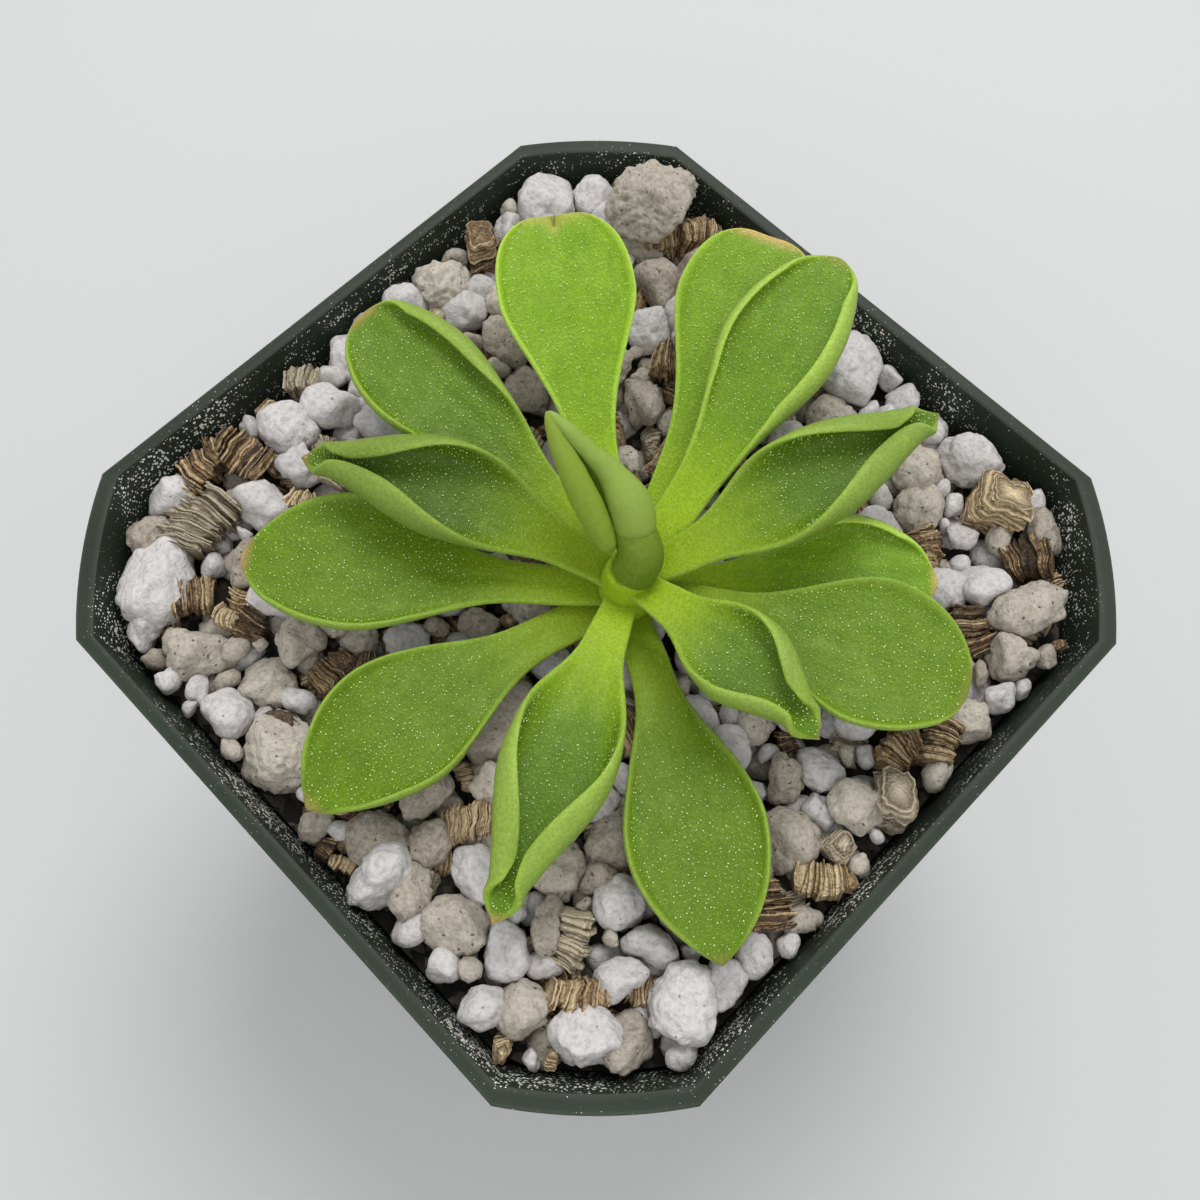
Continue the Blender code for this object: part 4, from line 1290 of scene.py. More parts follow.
        x = (place[:, None] - 0.5) * length + tilt[:, :1] * y + tilt[:, 1:] * z
        sheet = np.stack([0.25 * x, 0.75 * y, 0.75 * z], axis=-1)
        x = x + self.leaf_wave * soft_noise(sheet + seed % 83, seed + 2)
        bow = length / rng.uniform(0.1, 0.8) * rng.choice((-1.0, 1.0))
        x, y = (y + bow) * np.sin(x / bow), (y + bow) * np.cos(x / bow) - bow
        points = np.stack([x, y, z], axis=-1)
        tips = np.stack([points[0].mean(axis=0), points[-1].mean(axis=0)])
        body = rng.uniform(0.0, 1.0)
        tone = np.repeat(body + rng.uniform(-0.35, 0.30, leaves), 3 * around)
        depth = np.repeat(place * length, around) + seed % 61
        values = {
            "tone": np.append(tone, [body, body]),
            "sheet": np.append(depth, [depth[0], depth[-1]]),
            "silver": np.full(len(tone) + 2, 0.8 * (seed % 5 == 2)),
            # The first ring of each leaf lies in the gap and takes the painted shade
            "leaf": np.append(np.repeat(np.tile([0.1, 1.0, 0.9], leaves), around), [1.0, 1.0]),
        }
        points = np.vstack([points.reshape(-1, 3), tips])
        if seed % 4 == 0:
            points = points[:, [2, 1, 0]] * (1.0, 1.0, -1.0)
        return points, self.stack_faces(3 * leaves, around), values

    def grains(self) -> list[tuple[Grain, float]]:
        """All grains with their tilts, those of the solids first.

        Returns:
            Pairs of a grain and its tilt in radians.
        """
        rng = np.random.default_rng(self.seed)
        solid = self.scatter(rng)
        tilts = []
        for grain in solid:
            corners = 8 if grain.kind is VERMICULITE else 12
            rng.uniform(-1.0, 1.0, (corners, 3))
            tilts.append(rng.uniform(-0.3, 0.3))
        fine_rng = np.random.default_rng(self.seed + 1)
        small = self.fine_fill(solid, fine_rng)
        lower = self.lower_layer(fine_rng)
        tilts += list(fine_rng.uniform(-0.7, 0.7, len(small) + len(lower)))
        LOG.info("%d grains as in the solids, %d finer, %d below", len(solid), len(small), len(lower))
        return list(zip(solid + small + lower, tilts))

    def build(self) -> None:
        """Makes the fines and one mesh for each mineral, with a second one for its small grains."""
        heaps: dict[tuple[GrainKind, bool], Heap] = {}
        balls = {level: unit_ball(level) for level in (3, 4, 5)}
        for number, (grain, tilt) in enumerate(self.grains()):
            seed = 1000 + number
            if grain.kind is VERMICULITE:
                points, faces, values = self.stack(grain, seed)
            else:
                level = 5 if grain.high > 3.1 else 4 if grain.high > 1.75 and grain.lift > -1.0 else 3
                sizes = tuple(self.stone_fill * half for half in (grain.long, grain.wide, grain.high))
                points = STONE_FORMS[grain.kind].shape(balls[level][0], sizes, seed)
                faces = balls[level][1]
                values = {"tone": np.random.default_rng(seed).random()}
            points = turned(points, tilt, math.radians(grain.turn))
            height = float(self.height_at(grain.x, grain.y)) + grain.lift
            points = self.settle(points + (grain.x, grain.y, height))
            small = grain.high < 2.1 or grain.lift < -1.0
            heaps.setdefault((grain.kind, small), Heap([], [], {})).add(points, faces, values)
        self.build_fines()
        materials = {
            PERLITE: ExpandedPerlite().build(),
            PUMICE: CrushedPumice().build(),
            VERMICULITE: ExpandedVermiculite().build(),
        }
        for (kind, small), heap in heaps.items():
            values = {key: np.concatenate(parts) for key, parts in heap.values.items()}
            name = f"{kind.value}_{'crumbs' if small else 'grains'}"
            piece = make_mesh(name, np.vstack(heap.points), [np.vstack(heap.faces)], materials[kind], values)
            if kind is VERMICULITE:
                piece.data.set_sharp_from_angle(angle=math.radians(40))
            fix_piece(piece)

    def build_fines(self) -> None:
        """The fill under the grains, painted nearly black for the shade in the gaps: rings at the bed's
        height with a crumbly top.
        """
        turn = even_turns(self.fines_sides)
        heights = self.pot.floor + self.gap, self.top + self.edge_rise - self.fines_depth
        halves = [float(self.pot.inner_half(z)) - self.fines_gap for z in heights]
        rings = [self.pot.ring(half, turn, z) for half, z in zip(halves, heights)]
        for half in np.linspace(halves[1] - 1.0, 1.0, 40):
            ring = self.pot.ring(half, turn, 0.0)
            ring[:, 2] = self.height_at(ring[:, 0], ring[:, 1]) - self.fines_depth
            ring[:, 2] += self.fines_crumb * layered_noise(ring * 0.8, 71)
            rings.append(ring)
        faces = tube_faces(len(rings), len(turn))
        fines = make_mesh("bed_fines", np.vstack(rings), faces, BedFines().build())
        fines.data.set_sharp_from_angle(angle=math.radians(50))
        fix_piece(fines, ["bed"])


@dataclass(frozen=True)
class Leaf:
    """One leaf, in millimetres and degrees. Left is the anticlockwise side, seen from above."""

    node: str
    azimuth: float
    length: float
    half_width: float
    rank: float
    rise: float
    droop: float
    sway: float = 0.0
    curl_left: float = 60.0
    curl_right: float = 60.0
    rolled_left: float = 0.25
    rolled_right: float = 0.25
    curl_start: float = 0.25
    curl_full: float = 0.55
    widest: float = 0.7
    bluntness: float = 0.6
    notch: float = 0.0
    closing: float = 0.0
    blush: float = 0.25
    # Gain of the painted light on the leaf's colour
    painted_light: float = 1.0

    @property
    def seed(self) -> int:
        """The leaf's own number."""
        return sum(map(ord, self.node))


# The leaves of the solids, with the pink of each tip and how much painted light brightens each
LEAVES = (
    Leaf("leaf_01", 148.5, 38.5, 7.9, 4.0, 18, 6, -4, curl_left=80, widest=0.76, bluntness=0.34, notch=1.4,
         blush=0.3, painted_light=1.6),
    Leaf("leaf_02", 113, 40.0, 7.6, 0.6, 16, 6, curl_left=45, curl_right=15, widest=0.78, bluntness=0.36,
         blush=0.8, painted_light=1.4),
    Leaf("leaf_03", 99, 38.0, 7.8, 8.0, 23, 17, 4, curl_left=130, curl_right=165, rolled_left=0.4,
         rolled_right=0.5, widest=0.7, bluntness=0.7, painted_light=1.3),
    Leaf("leaf_04", 66, 33.5, 7.8, 10.6, 24, 30, 13, curl_left=185, curl_right=188,
         rolled_left=0.66, rolled_right=0.7, curl_start=0.15, curl_full=0.8, widest=0.6, bluntness=1.05,
         closing=40),
    Leaf("leaf_05", 48.5, 29.0, 8.2, 3.0, 13, 12, -8, curl_left=150, curl_right=25,
         rolled_left=0.42, curl_full=0.6, widest=0.7, bluntness=0.8, blush=0.7, painted_light=1.58),
    Leaf("leaf_06", 27, 32.5, 8.1, 5.8, 18, 19, -7, curl_left=60, curl_right=85, widest=0.7, bluntness=0.5),
    Leaf("leaf_07", 3, 22.5, 6.4, 13.2, 22, 24, -8, curl_left=180, curl_right=145, rolled_left=0.62,
         rolled_right=0.5, curl_start=0.12, curl_full=0.75, widest=0.6, bluntness=1.1, closing=50,
         blush=0.4, painted_light=1.05),
    Leaf("leaf_08", -29, 36.0, 7.5, 0.0, 14.5, 14, -7, curl_left=90, curl_right=90, widest=0.67,
         bluntness=0.85, painted_light=0.95),
    Leaf("leaf_09", -63, 34.0, 8.0, 9.0, 18, 23, -4, curl_left=180, curl_right=190, rolled_left=0.6,
         rolled_right=0.66, curl_start=0.12, curl_full=0.8, widest=0.6, bluntness=1.05, closing=45,
         blush=0.8, painted_light=1.13),
    Leaf("leaf_10", -105.5, 36.2, 7.8, 1.4, 14, 14, 17, curl_left=95, curl_right=80, widest=0.7,
         bluntness=0.85, closing=20, blush=0.5, painted_light=0.97),
    Leaf("leaf_11", 226, 36.5, 7.9, 4.7, 16, 17, -7, curl_left=95, curl_right=40, rolled_left=0.3,
         widest=0.7, bluntness=0.7, blush=0.9, painted_light=0.97),
    Leaf("leaf_12", 201.5, 32.5, 7.8, 10.2, 24, 29, 11, curl_left=183, curl_right=188,
         rolled_left=0.65, rolled_right=0.7, curl_start=0.12, curl_full=0.8, widest=0.6, bluntness=1.0,
         closing=40, blush=0.9, painted_light=0.85),
    Leaf("leaf_13", 178, 37.5, 7.9, 7.4, 18, 17, 5, curl_left=100, rolled_left=0.3, curl_right=175,
         rolled_right=0.52, curl_start=0.3, curl_full=0.7, widest=0.72, bluntness=0.58, blush=0.6, painted_light=1.05),
)


@dataclass
class Blade:
    """A leaf's worked-out surface: its middle grid, its normals and where each point lies on the leaf."""

    middle: np.ndarray
    normal: np.ndarray
    thick: np.ndarray
    along: np.ndarray
    share: np.ndarray
    across: np.ndarray


@dataclass(frozen=True)
class Rosette:
    """The plant: its crown, its blades, and the drops and hairs that stand on them."""

    crown: tuple[float, float] = (4.6, -0.2)
    lowest_leaf: float = 76.7
    rank_rise: float = 0.52
    root_half_width: float = 1.8
    neck_half_width: float = 2.2
    tip_half_width: float = 0.10
    mid_thickness: float = 1.3
    margin_thickness: float = 0.88
    root_thickness: float = 1.0
    tightest_roll: float = 0.95
    dish: float = 12.0
    seat: float = 2.8
    rows: int = 80
    half_columns: int = 17
    fine_steps: int = 400
    blade_start: float = 0.10
    closing_start: float = 0.55
    crown_sides: int = 48
    drop_spacing: float = 0.56
    drop_radius: float = 0.085
    hairs_per_leaf: int = 90
    hair_radius: float = 0.018
    hair_root: float = 0.05
    hair_lean: float = 0.55

    def half_width(self, leaf: Leaf, along: np.ndarray) -> np.ndarray:
        """Spoon outline: a sine arch with its peak moved to the widest place, joined to a neck.

        Args:
            leaf: The leaf's plan.
            along: Shares of the leaf's length, below 0 inside the crown.

        Returns:
            Half the width at each share.
        """
        t = np.clip((along - self.blade_start) / (1.0 - self.blade_start), 1e-6, 1.0)
        peak = (leaf.widest - self.blade_start) / (1.0 - self.blade_start)
        phase = t ** (math.log(0.5) / math.log(peak))
        power = np.where(phase > 0.5, leaf.bluntness, 1.25)
        blade = leaf.half_width * np.clip(np.sin(math.pi * phase), 0.0, 1.0) ** power
        opening = smooth_step(along, 0.0, 0.16)
        neck = self.root_half_width + (self.neck_half_width - self.root_half_width) * opening
        neck = neck * (1.0 - smooth_step(along, 0.5, 1.0))
        return np.maximum(np.hypot(blade, neck), self.tip_half_width)

    def half_section(
        self,
        width: np.ndarray,
        curl: float,
        rolled: float,
        fine: np.ndarray,
        ramp: np.ndarray,
        fold: np.ndarray,
    ) -> tuple[np.ndarray, np.ndarray, np.ndarray]:
        """Half of each cross-section as an arc length that turns upwards towards the margin.

        It turns evenly through a shallow dish, then through its curl over the rolled share next to
        the margin, but never tighter than the tightest roll. Beside the midrib it also turns by the
        fold that closes the leaf's tip.

        Args:
            width: Half width of each row.
            curl: The roll's whole turn, in degrees.
            rolled: Share of the half width that rolls.
            fine: Steps from the midrib to the margin.
            ramp: How much of the curl each row has.
            fold: How far each row folds up from the midrib, in degrees.

        Returns:
            The way out, the lift and the angle at each step.
        """
        limit = np.degrees(rolled * width / self.tightest_roll) * 0.9
        turn = np.minimum(10.0 + (curl - 10.0) * ramp, np.maximum(limit, 10.0))
        rolling = smooth_step(fine, 1.0 - 1.15 * rolled, 1.0 + 0.15 * rolled)
        angle = np.radians(self.dish * fine + turn * rolling + fold * smooth_step(fine, 0.0, 0.3))
        out = np.cumsum(np.cos(angle), axis=1) * width / self.fine_steps
        lift = np.cumsum(np.sin(angle), axis=1) * width / self.fine_steps
        return out - out[:, :1], lift - lift[:, :1], angle

    def midrib(self, leaf: Leaf, fine: np.ndarray) -> tuple[np.ndarray, np.ndarray, np.ndarray]:
        """Follows a leaf's midrib, an arc that starts inside the crown.

        It starts at the leaf's rise and loses its droop evenly along the leaf, and it sways
        sideways in the same way.

        Args:
            leaf: The leaf's plan.
            fine: Shares of the leaf's length, below 0 inside the crown.

        Returns:
            Its points, its directions and the level directions across it.
        """
        slope = np.radians(leaf.rise - leaf.droop * np.maximum(fine, 0.0))
        heading = np.radians(leaf.sway * np.maximum(fine, 0.0))
        level = np.cos(slope)
        tangent = np.column_stack([level * np.cos(heading), level * np.sin(heading), np.sin(slope)])
        steps = (tangent[1:] + tangent[:-1]) / 2 * (leaf.length * np.diff(fine)[:, None])
        points = np.vstack([np.zeros(3), np.cumsum(steps, axis=0)]) + fine[0] * leaf.length * tangent[0]
        return points, tangent, np.column_stack([-np.sin(heading), np.cos(heading), 0.0 * fine])

    def blade(self, leaf: Leaf) -> Blade:
        """Works out a leaf's middle surface.

        Each row of points along the midrib carries its curled cross-section, the margins ripple a
        little, and rows lie closer towards the tip.

        Args:
            leaf: The leaf's plan.

        Returns:
            The surface, in the pot's frame.
        """
        rng = np.random.default_rng(leaf.seed)
        fine = np.linspace((1.0 - self.seat) / leaf.length, 1.0, self.fine_steps + 1)
        share = 1.0 - (1.0 - np.linspace(0.0, 1.0, self.rows + 1)) ** 1.9
        rows = np.unique(np.round(share * self.fine_steps).astype(int))
        along = fine[rows]
        midrib, tangent, across = (part[rows, None] for part in self.midrib(leaf, fine))
        up = np.cross(tangent, across)
        width = self.half_width(leaf, along)[:, None]
        ramp = smooth_step(along, leaf.curl_start, leaf.curl_full)[:, None]
        fold = leaf.closing * smooth_step(along, self.closing_start, 0.95)[:, None]
        fold = fold * smooth_step(width, 1.2, 3.6)
        nick_fade = smooth_step(along, 0.8, 1.0)[:, None]
        ripple = 0.16 * smooth_step(along, 0.2, 0.5) * (1.0 - smooth_step(along, 0.9, 1.0))
        picked = np.round(np.sin(np.linspace(0, math.pi / 2, self.half_columns + 1)) * self.fine_steps)
        picked = np.unique(picked.astype(int))
        steps_across = np.linspace(0.0, 1.0, self.fine_steps + 1)
        halves = []
        right, left = (-1, leaf.curl_right, leaf.rolled_right), (1, leaf.curl_left, leaf.rolled_left)
        for side, curl, rolled in (right, left):
            columns = picked[:0:-1] if side < 0 else picked
            waver = 1.0 + 0.03 * np.sin(2 * math.pi * (rng.uniform(1.1, 1.9) * along + rng.random()))[:, None]
            section = self.half_section(width, curl, rolled, steps_across, ramp * waver, fold)
            out, lift, angle = (part[:, columns, None] for part in section)
            q = steps_across[columns]
            wave = ripple * np.sin(2 * math.pi * (rng.uniform(1.2, 2.2) * along + rng.random()))
            nick = leaf.notch * np.exp(-((q / 0.2) ** 2)) * nick_fade
            points = midrib + side * out * across + lift * up - nick[..., None] * tangent
            normal = np.cos(angle) * up - side * np.sin(angle) * across
            points = points + normal * (wave[:, None] * q**3)[..., None]
            halves.append((points, normal, np.broadcast_to(side * q, out.shape[:2]), side * q * width))
        middle, normal, share, flat = (np.concatenate(parts, axis=1) for parts in zip(*halves))
        fade = (1.0 - np.clip(along, 0.0, 1.0)) ** 8
        sideways = np.clip(middle[..., 1], -0.93 * self.seat, 0.93 * self.seat)
        hollow = self.seat - np.sqrt(self.seat**2 - sideways**2)
        middle = middle - (hollow * fade[:, None])[..., None] * tangent
        return Blade(
            self.placed(leaf, middle),
            turned(normal, 0.0, math.radians(leaf.azimuth)),
            self.thickness(along, share),
            np.broadcast_to(along[:, None], share.shape),
            share,
            flat,
        )

    def thickness(self, along: np.ndarray, share: np.ndarray) -> np.ndarray:
        """Thick midrib, thinner margins, and edges rounded by the power (1 - q¹⁰)^½ all round.

        Args:
            along: Share of the length of each row.
            share: Share of the half width of each point, below 0 on the right.

        Returns:
            The thickness of each point, 0 on the leaf's whole edge.
        """
        length = np.clip(along, 0.0, 1.0)[:, None]
        body = self.root_thickness + (self.mid_thickness - self.root_thickness) * length**0.5
        full = self.margin_thickness + (body - self.margin_thickness) * (1.0 - share**2)
        side = np.sqrt(np.clip(1.0 - np.abs(share) ** 10, 0.0, 1.0))
        tip = np.sqrt(np.clip(1.0 - length**40, 0.0, 1.0))
        root = np.sqrt(np.clip((along - along[0]) / 0.01, 0.0, 1.0))[:, None]
        return full * side * tip * root

    def placed(self, leaf: Leaf, points: np.ndarray) -> np.ndarray:
        """Moves points from the leaf's own frame to the pot's.

        Args:
            leaf: The leaf's plan.
            points: Points with the midrib's foot at the origin and the leaf along X.

        Returns:
            The points round the crown.
        """
        foot = self.seat + self.root_thickness / 2 * math.sin(math.radians(leaf.rise))
        moved = turned(points + (foot, 0.0, 0.0), 0.0, math.radians(leaf.azimuth))
        return moved + (*self.crown, self.lowest_leaf + self.rank_rise * leaf.rank)

    def build_blade(self, leaf: Leaf, material: bpy.types.Material) -> Blade:
        """Makes a leaf's closed skin: its middle surface moved half its thickness up and down.

        Args:
            leaf: The leaf's plan.
            material: The leaf's finish.

        Returns:
            The leaf's surface.
        """
        blade = self.blade(leaf)
        relief = 0.07 * layered_noise(blade.middle * 0.45, leaf.seed)
        groove = 0.10 * np.exp(-((blade.across / 0.5) ** 2)) * smooth_step(blade.along, 0.02, 0.2)
        edge_fade = (1.0 - np.abs(blade.share) ** 6) * (1.0 - smooth_step(blade.along, 0.9, 1.0))
        half = blade.thick[..., None] / 2
        upper = blade.middle + blade.normal * (half + ((relief - groove) * edge_fade)[..., None] * (half > 0))
        lower = blade.middle - blade.normal * (half + (0.6 * relief * edge_fade)[..., None] * (half > 0))
        # Both faces share the points of the edge, so the lower one adds its inner points only
        inner = (slice(1, -1), slice(1, -1))
        top = np.arange(blade.share.size).reshape(blade.share.shape)
        under = top.copy()
        within = under[inner].shape
        under[inner] = top.size + np.arange(within[0] * within[1]).reshape(within)
        points = np.vstack([upper.reshape(-1, 3), lower[inner].reshape(-1, 3)])
        # Painted shade in the trough of a rolled leaf, on the upper face only
        fold = self.fold_shade(leaf, blade)
        tip = smooth_step(blade.along, 0.955, 1.0) * leaf.blush
        face = np.ones_like(blade.share)
        face[:, [0, -1]] = 0.5
        own = np.full_like(blade.across, leaf.seed)
        flow = np.stack([blade.across, blade.along * leaf.length, own], axis=-1)
        alike = {
            "along": blade.along,
            "reach": np.abs(blade.share),
            "blush": tip,
            "painted_light": np.full_like(fold, leaf.painted_light),
        }
        above = {**alike, "upper": face, "fold": fold}
        below = {**alike, "upper": 0.0 * face, "fold": 0.0 * fold}
        values = {key: np.append(above[key].ravel(), below[key][inner].ravel()) for key in above}
        values["flow"] = np.vstack([flow.reshape(-1, 3), flow[inner].reshape(-1, 3)])
        name = leaf.node.replace("leaf", "blade")
        piece = make_mesh(name, points, [grid_quads(top), grid_quads(under, flip=True)], material, values)
        fix_piece(piece, [leaf.node])
        return blade

    @staticmethod
    def fold_shade(leaf: Leaf, blade: Blade) -> np.ndarray:
        """How much painted shade each point gets in a rolled leaf's fold, from 0 to 1.

        Args:
            leaf: The leaf's plan.
            blade: Its surface.

        Returns:
            The fold's painted shade at each point.
        """
        curl = max(leaf.curl_left * leaf.rolled_left, leaf.curl_right * leaf.rolled_right) / 130.0
        return min(1.0, curl) * (1.0 - np.abs(blade.share) ** 3) * smooth_step(blade.along, 0.2, 0.55)

    def build_crown(self, material: bpy.types.Material) -> None:
        """The crown: a short stem that swells to the smooth sheath the youngest stalk rises from.

        Args:
            material: The leaf's finish.
        """
        profile = np.array([
            (0.4, 60.0), (1.2, 60.4), (2.0, 63.0), (2.0, 75.0), (2.5, 76.0), (2.9, 77.5), (3.0, 79.0),
            (2.95, 80.5), (2.75, 82.0), (2.55, 83.3), (2.42, 84.1), (2.3, 84.6), (2.15, 84.9), (1.95, 85.0),
            (1.6, 84.9), (1.1, 84.7), (0.5, 84.5), (0.03, 84.5),
        ])
        turn = even_turns(self.crown_sides)
        lobes = 1.0 + 0.025 * np.cos(3 * turn + 0.6) + 0.01 * np.cos(5 * turn)
        lobes = 1.0 + (lobes - 1.0) * smooth_step(profile[:, 1:], 76.0, 83.0)
        radius = profile[:, :1] * lobes
        x, y = self.crown[0] + radius * np.cos(turn), self.crown[1] + radius * np.sin(turn)
        points = np.stack([x, y, np.broadcast_to(profile[:, 1:], radius.shape)], axis=-1).reshape(-1, 3)
        # The crown's colour gets painted light too, as the leaves' does
        looks = {"along": 0.05, "reach": 0.4, "upper": 1.0, "blush": 0.0, "fold": 0.0, "painted_light": 1.2}
        values = {key: np.full(len(points), value) for key, value in looks.items()} | {"flow": points}
        faces = tube_faces(len(profile), len(turn))
        piece = make_mesh("crown_collar", points, faces, material, values)
        fix_piece(piece, ["crown"])

    def drop_sites(self, leaf: Leaf, blade: Blade) -> tuple[np.ndarray, ...]:
        """Where glands stand on a leaf's upper face: a jittered lattice, sparse towards the petiole.

        Args:
            leaf: The leaf's plan.
            blade: Its surface.

        Returns:
            The glands' feet, their directions, their sizes and how much each glints.
        """
        rng = np.random.default_rng(500 + leaf.seed)
        pitch = self.drop_spacing
        rows = np.arange(0.10 * leaf.length, leaf.length - 0.2, pitch * 0.87)
        columns = np.arange(-leaf.half_width, leaf.half_width, pitch)
        s, x = np.meshgrid(rows, columns, indexing="ij")
        x = x + pitch / 2 * (np.arange(len(rows)) % 2)[:, None]
        s = (s + rng.uniform(-0.22, 0.22, s.shape)).ravel()
        x = (x + rng.uniform(-0.22, 0.22, x.shape)).ravel()
        along = s / leaf.length
        q = x / self.half_width(leaf, along)
        chance = 0.25 + 0.75 * smooth_step(along, 0.18, 0.45)
        kept = (np.abs(q) < 0.90) & (along < 0.98) & (rng.random(len(q)) < chance)
        along, q = along[kept], q[kept]
        row = np.interp(along, blade.along[:, 0], np.arange(blade.along.shape[0]))
        column = np.interp(q, blade.share[0], np.arange(blade.share.shape[1]))
        low_row = np.minimum(row.astype(int), blade.along.shape[0] - 2)
        low_column = np.minimum(column.astype(int), blade.share.shape[1] - 2)
        a, b = (row - low_row)[:, None], (column - low_column)[:, None]

        def blended(grid: np.ndarray) -> np.ndarray:
            """Reads a grid between its points."""
            first = grid[low_row, low_column] * (1 - b) + grid[low_row, low_column + 1] * b
            second = grid[low_row + 1, low_column] * (1 - b) + grid[low_row + 1, low_column + 1] * b
            return first * (1 - a) + second * a

        way = unit_rows(blended(blade.normal))
        feet = blended(blade.middle) + way * blended(blade.thick[..., None]) / 2
        glint = rng.random(len(feet))
        size = self.drop_radius * (0.62 + 0.5 * glint**2) * (0.65 + 0.35 * smooth_step(along, 0.2, 0.5))
        return feet, way, size, glint

    def build_drops(self, surfaces: Sequence[tuple[Leaf, Blade]], material: bpy.types.Material) -> None:
        """One mesh of all mucilage drops, each a small double cone that stands on a gland.

        Args:
            surfaces: Every leaf and its surface.
            material: The drops' finish.
        """
        sites = [self.drop_sites(leaf, blade) for leaf, blade in surfaces]
        feet, way, size, glint = (np.concatenate(parts) for parts in zip(*sites))
        helper = np.where(np.abs(way[:, 2:]) < 0.9, (0.0, 0.0, 1.0), (1.0, 0.0, 0.0))
        r = size[:, None, None]
        feet, rise = feet[:, None], way[:, None] * r
        middle = feet + rise * 0.9 + spokes(way, helper, 4) * r
        top = feet + rise * 1.9
        foot = feet - rise * 0.4
        points = np.concatenate([middle, top, foot], axis=1).reshape(-1, 3)
        one = np.array([(i, (i + 1) % 4, 4) for i in range(4)] + [((i + 1) % 4, i, 5) for i in range(4)])
        faces = (one[None] + 6 * np.arange(len(feet))[:, None, None]).reshape(-1, 3)
        piece = make_mesh("mucilage_drops", points, [faces], material, {"tone": np.repeat(glint, 6)})
        fix_piece(piece)
        LOG.info("%d glands", len(feet))

    def build_hairs(self, surfaces: Sequence[tuple[Leaf, Blade]], material: bpy.types.Material) -> None:
        """Short white hairs near the leaf bases, each a three-sided spike bent off the surface.

        Args:
            surfaces: Every leaf and its surface.
            material: The hairs' finish.
        """
        rng = np.random.default_rng(91)
        count = self.hairs_per_leaf
        feet, way, long = [], [], []
        for _, blade in surfaces:
            first, last = np.searchsorted(blade.along[:, 0], (0.08, 0.5))
            row = rng.integers(first, last, count)
            columns = blade.share.shape[1]
            edge = rng.random(count) < 0.6
            near = rng.integers(2, 6, count)
            margin = np.where(rng.random(count) < 0.5, near, columns - 1 - near)
            column = np.where(edge, margin, rng.integers(4, columns - 4, count))
            normal = blade.normal[row, column]
            feet.append(blade.middle[row, column] + normal * blade.thick[row, column, None] / 2)
            way.append(normal + rng.normal(size=(count, 3)) * self.hair_lean)
            long.append(rng.uniform(0.3, 0.7, count))
        feet, way = np.concatenate(feet)[:, None], unit_rows(np.concatenate(way))
        ring = spokes(way, (0.31, 0.87, 0.38), 3)
        base = feet + self.hair_radius * ring - self.hair_root * way[:, None]
        tip = feet + (np.concatenate(long)[:, None] * way)[:, None]
        points = np.concatenate([base, tip], axis=1).reshape(-1, 3)
        one = np.array([(0, 1, 3), (1, 2, 3), (2, 0, 3), (2, 1, 0)])
        faces = (one[None] + 4 * np.arange(len(feet))[:, None, None]).reshape(-1, 3)
        fix_piece(make_mesh("leaf_hairs", points, [faces], material))

    def build(self) -> None:
        """Makes the whole plant."""
        tissue = LeafTissue().build()
        surfaces = [(leaf, self.build_blade(leaf, tissue)) for leaf in LEAVES]
        self.build_crown(tissue)
        self.build_drops(surfaces, Mucilage().build())
        self.build_hairs(surfaces, PlantHair().build())


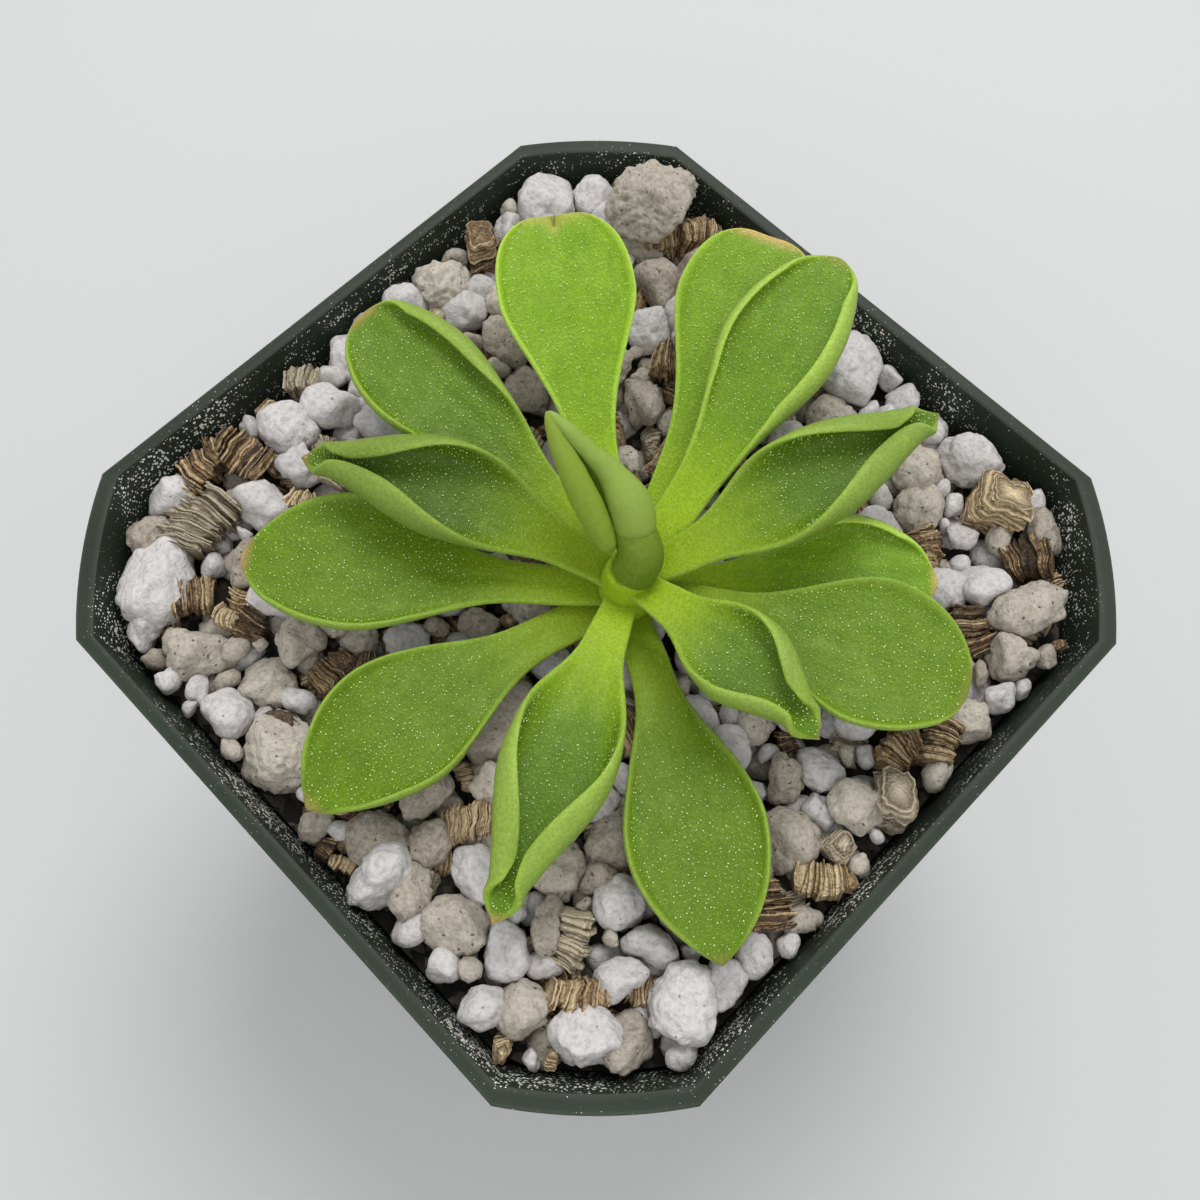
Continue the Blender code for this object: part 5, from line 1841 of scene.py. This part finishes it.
@dataclass(frozen=True)
class YoungLeaf:
    """The youngest leaf: a thick stalk with the two lobes of its rolled blade along it.

    Each is a fleshy tube through stations of x, y, z and radius, from its lower end.
    """

    stalk: tuple[tuple[float, ...], ...] = (
        (5.1, -0.5, 84.3, 2.2), (5.1, 0.4, 85.6, 2.3), (4.8, 1.2, 86.8, 2.3), (3.4, 1.9, 87.8, 2.15),
        (0.5, 2.6, 88.9, 1.9), (-2.9, 3.2, 90.6, 1.45), (-5.9, 3.0, 93.4, 0.8), (-7.8, 2.4, 95.6, 0.4),
    )
    left_lobe: tuple[tuple[float, ...], ...] = (
        (2.9, -1.0, 87.6, 0.4), (2.1, -0.8, 88.2, 1.0), (0.2, -0.4, 89.9, 1.4), (-3.1, 0.3, 92.8, 1.4),
        (-6.2, 1.0, 95.3, 0.95), (-8.7, 1.9, 97.2, 0.35),
    )
    right_lobe: tuple[tuple[float, ...], ...] = (
        (3.6, 1.8, 87.8, 1.6), (2.7, 2.4, 88.8, 2.15), (0.8, 3.2, 90.5, 2.1), (-1.9, 3.4, 92.3, 1.35),
        (-4.1, 2.9, 94.0, 0.95), (-6.3, 2.4, 95.8, 0.75), (-8.6, 2.0, 97.2, 0.35),
    )
    rings: int = 96
    sides: int = 48

    def tube(self, stations: Sequence[Sequence[float]]) -> np.ndarray:
        """Rings of one tube: a cubic curve through its stations, with a rounded skin and round ends.

        The curve's slopes are the stations' central differences. Soft noise of 0.05 mm moves the
        skin, and near both ends the radius follows a quarter circle.

        Args:
            stations: Places and radii.

        Returns:
            Rings by sides by three.
        """
        knots = np.array(stations)
        slopes = np.gradient(knots, axis=0)
        t = np.linspace(0.0, len(knots) - 1, self.rings)
        start = np.minimum(t.astype(int), len(knots) - 2)
        u = (t - start)[:, None]
        middle = (
            (2 * u**3 - 3 * u**2 + 1) * knots[start]
            + (u**3 - 2 * u**2 + u) * slopes[start]
            + (3 * u**2 - 2 * u**3) * knots[start + 1]
            + (u**3 - u**2) * slopes[start + 1]
        )
        out = spokes(unit_rows(np.gradient(middle[:, :3], axis=0)), (0.3, -0.9, 0.3), self.sides)
        end = np.minimum(t, t[-1] - t) / 0.35
        blunt = np.sqrt(np.clip(1.0 - (1.0 - np.minimum(end, 1.0)) ** 2, 0.0, 1.0))
        radius = (middle[:, 3] * np.maximum(blunt, 0.02))[:, None, None]
        points = middle[:, None, :3] + radius * out
        swell = 0.05 * layered_noise(points * 0.6, 301) * blunt[:, None]
        points = points + swell[..., None] * out
        points[..., 2] = np.maximum(points[..., 2], 84.0)
        return points

    def build(self, finish: YoungTissue) -> None:
        """Makes the stalk and both lobes as one piece.

        Args:
            finish: The young leaf's flesh.
        """
        # The stalk's low tones take the foot's painted shade
        tubes = ((self.stalk, 0.0, 0.35), (self.left_lobe, 0.4, 0.6), (self.right_lobe, 0.75, 1.0))
        points, faces, tones = [], [], []
        for number, (stations, low, high) in enumerate(tubes):
            points.append(self.tube(stations).reshape(-1, 3))
            faces += tube_faces(self.rings, self.sides, number * self.rings * self.sides)
            tones.append(np.repeat(np.linspace(low, high, self.rings), self.sides))
        tone = {"tone": np.concatenate(tones)}
        piece = make_mesh("young_blade", np.vstack(points), faces, finish.build(), tone)
        fix_piece(piece, ["young_leaf"])


@dataclass(frozen=True)
class Studio:
    """A pale floor, soft light from beyond the pot and a camera that looks down on the plant."""

    eye: tuple[float, float, float] = (33.34, -33.63, 196.16)
    look: tuple[float, float, float] = (-0.2400, 0.2457, -0.9392)
    roll_degrees: float = -0.861
    lens: float = 36.12
    panels: tuple[tuple[str, tuple[float, ...], float, float], ...] = (
        ("far_panel", (-0.16, 0.26, 0.60), 0.32, 2.3),
        ("near_panel", (0.24, -0.34, 0.60), 0.50, 1.0),
    )
    aim: tuple[float, float, float] = (0.0, 0.0, 0.08)
    sky: tuple[float, ...] = (0.96, 0.98, 1.0, 1.0)
    sky_strength: float = 0.78

    def build_camera(self) -> None:
        """Places the camera, with its frame turned by the roll about its own axis."""
        data = bpy.data.cameras.new("camera")
        data.lens = self.lens
        data.sensor_width = 36.0
        data.clip_start = 0.001
        data.clip_end = 10.0
        camera = bpy.data.objects.new("camera", data)
        ahead = Vector(self.look).normalized()
        right = ahead.cross(Vector((0, 0, 1))).normalized()
        up = right.cross(ahead)
        c, s = math.cos(math.radians(self.roll_degrees)), math.sin(math.radians(self.roll_degrees))
        frame_right, frame_up = c * right - s * up, s * right + c * up
        turn = Matrix((frame_right, frame_up, -ahead)).transposed()
        camera.matrix_world = Matrix.Translation(Vector(self.eye) * MM) @ turn.to_4x4()
        bpy.context.scene.collection.objects.link(camera)
        bpy.context.scene.camera = camera

    def build_light(self) -> None:
        """A broad overhead panel beyond the pot, a weaker one on the near side and an even pale sky.

        Each panel has a name, a place in metres, a diameter in metres and a power in watts.
        """
        for name, place, size, power in self.panels:
            data = bpy.data.lights.new(name, "AREA")
            data.shape = "DISK"
            data.size = size
            data.energy = power
            lamp = bpy.data.objects.new(name, data)
            away = Vector(place) - Vector(self.aim)
            lamp.matrix_world = Matrix.Translation(place) @ away.to_track_quat("Z", "Y").to_matrix().to_4x4()
            bpy.context.scene.collection.objects.link(lamp)
        world = bpy.data.worlds.new("pale_sky")
        world.use_nodes = True
        back = world.node_tree.nodes["Background"]
        back.inputs["Color"].default_value = self.sky
        back.inputs["Strength"].default_value = self.sky_strength
        bpy.context.scene.world = world
        bpy.context.scene.view_settings.view_transform = "Standard"

    def build_floor(self) -> None:
        """A square of backdrop paper, 3 m across, under the pot."""
        corners = 1500.0 * np.array([(-1, -1, 0), (1, -1, 0), (1, 1, 0), (-1, 1, 0)])
        floor = make_mesh("floor", corners, [np.array([[0, 1, 2, 3]])], PaperFloor().build())


def main() -> None:
    """Builds the pot, the bed, the plant and the studio, in that order."""
    logging.basicConfig(level=logging.INFO, format="%(name)s: %(message)s")
    pot = NurseryPot()
    pot.build(MouldedPolypropylene())
    GritBed(pot).build()
    Rosette().build()
    YoungLeaf().build(YoungTissue())
    studio = Studio()
    studio.build_floor()
    studio.build_light()
    studio.build_camera()


if __name__ == "__main__":
    main()
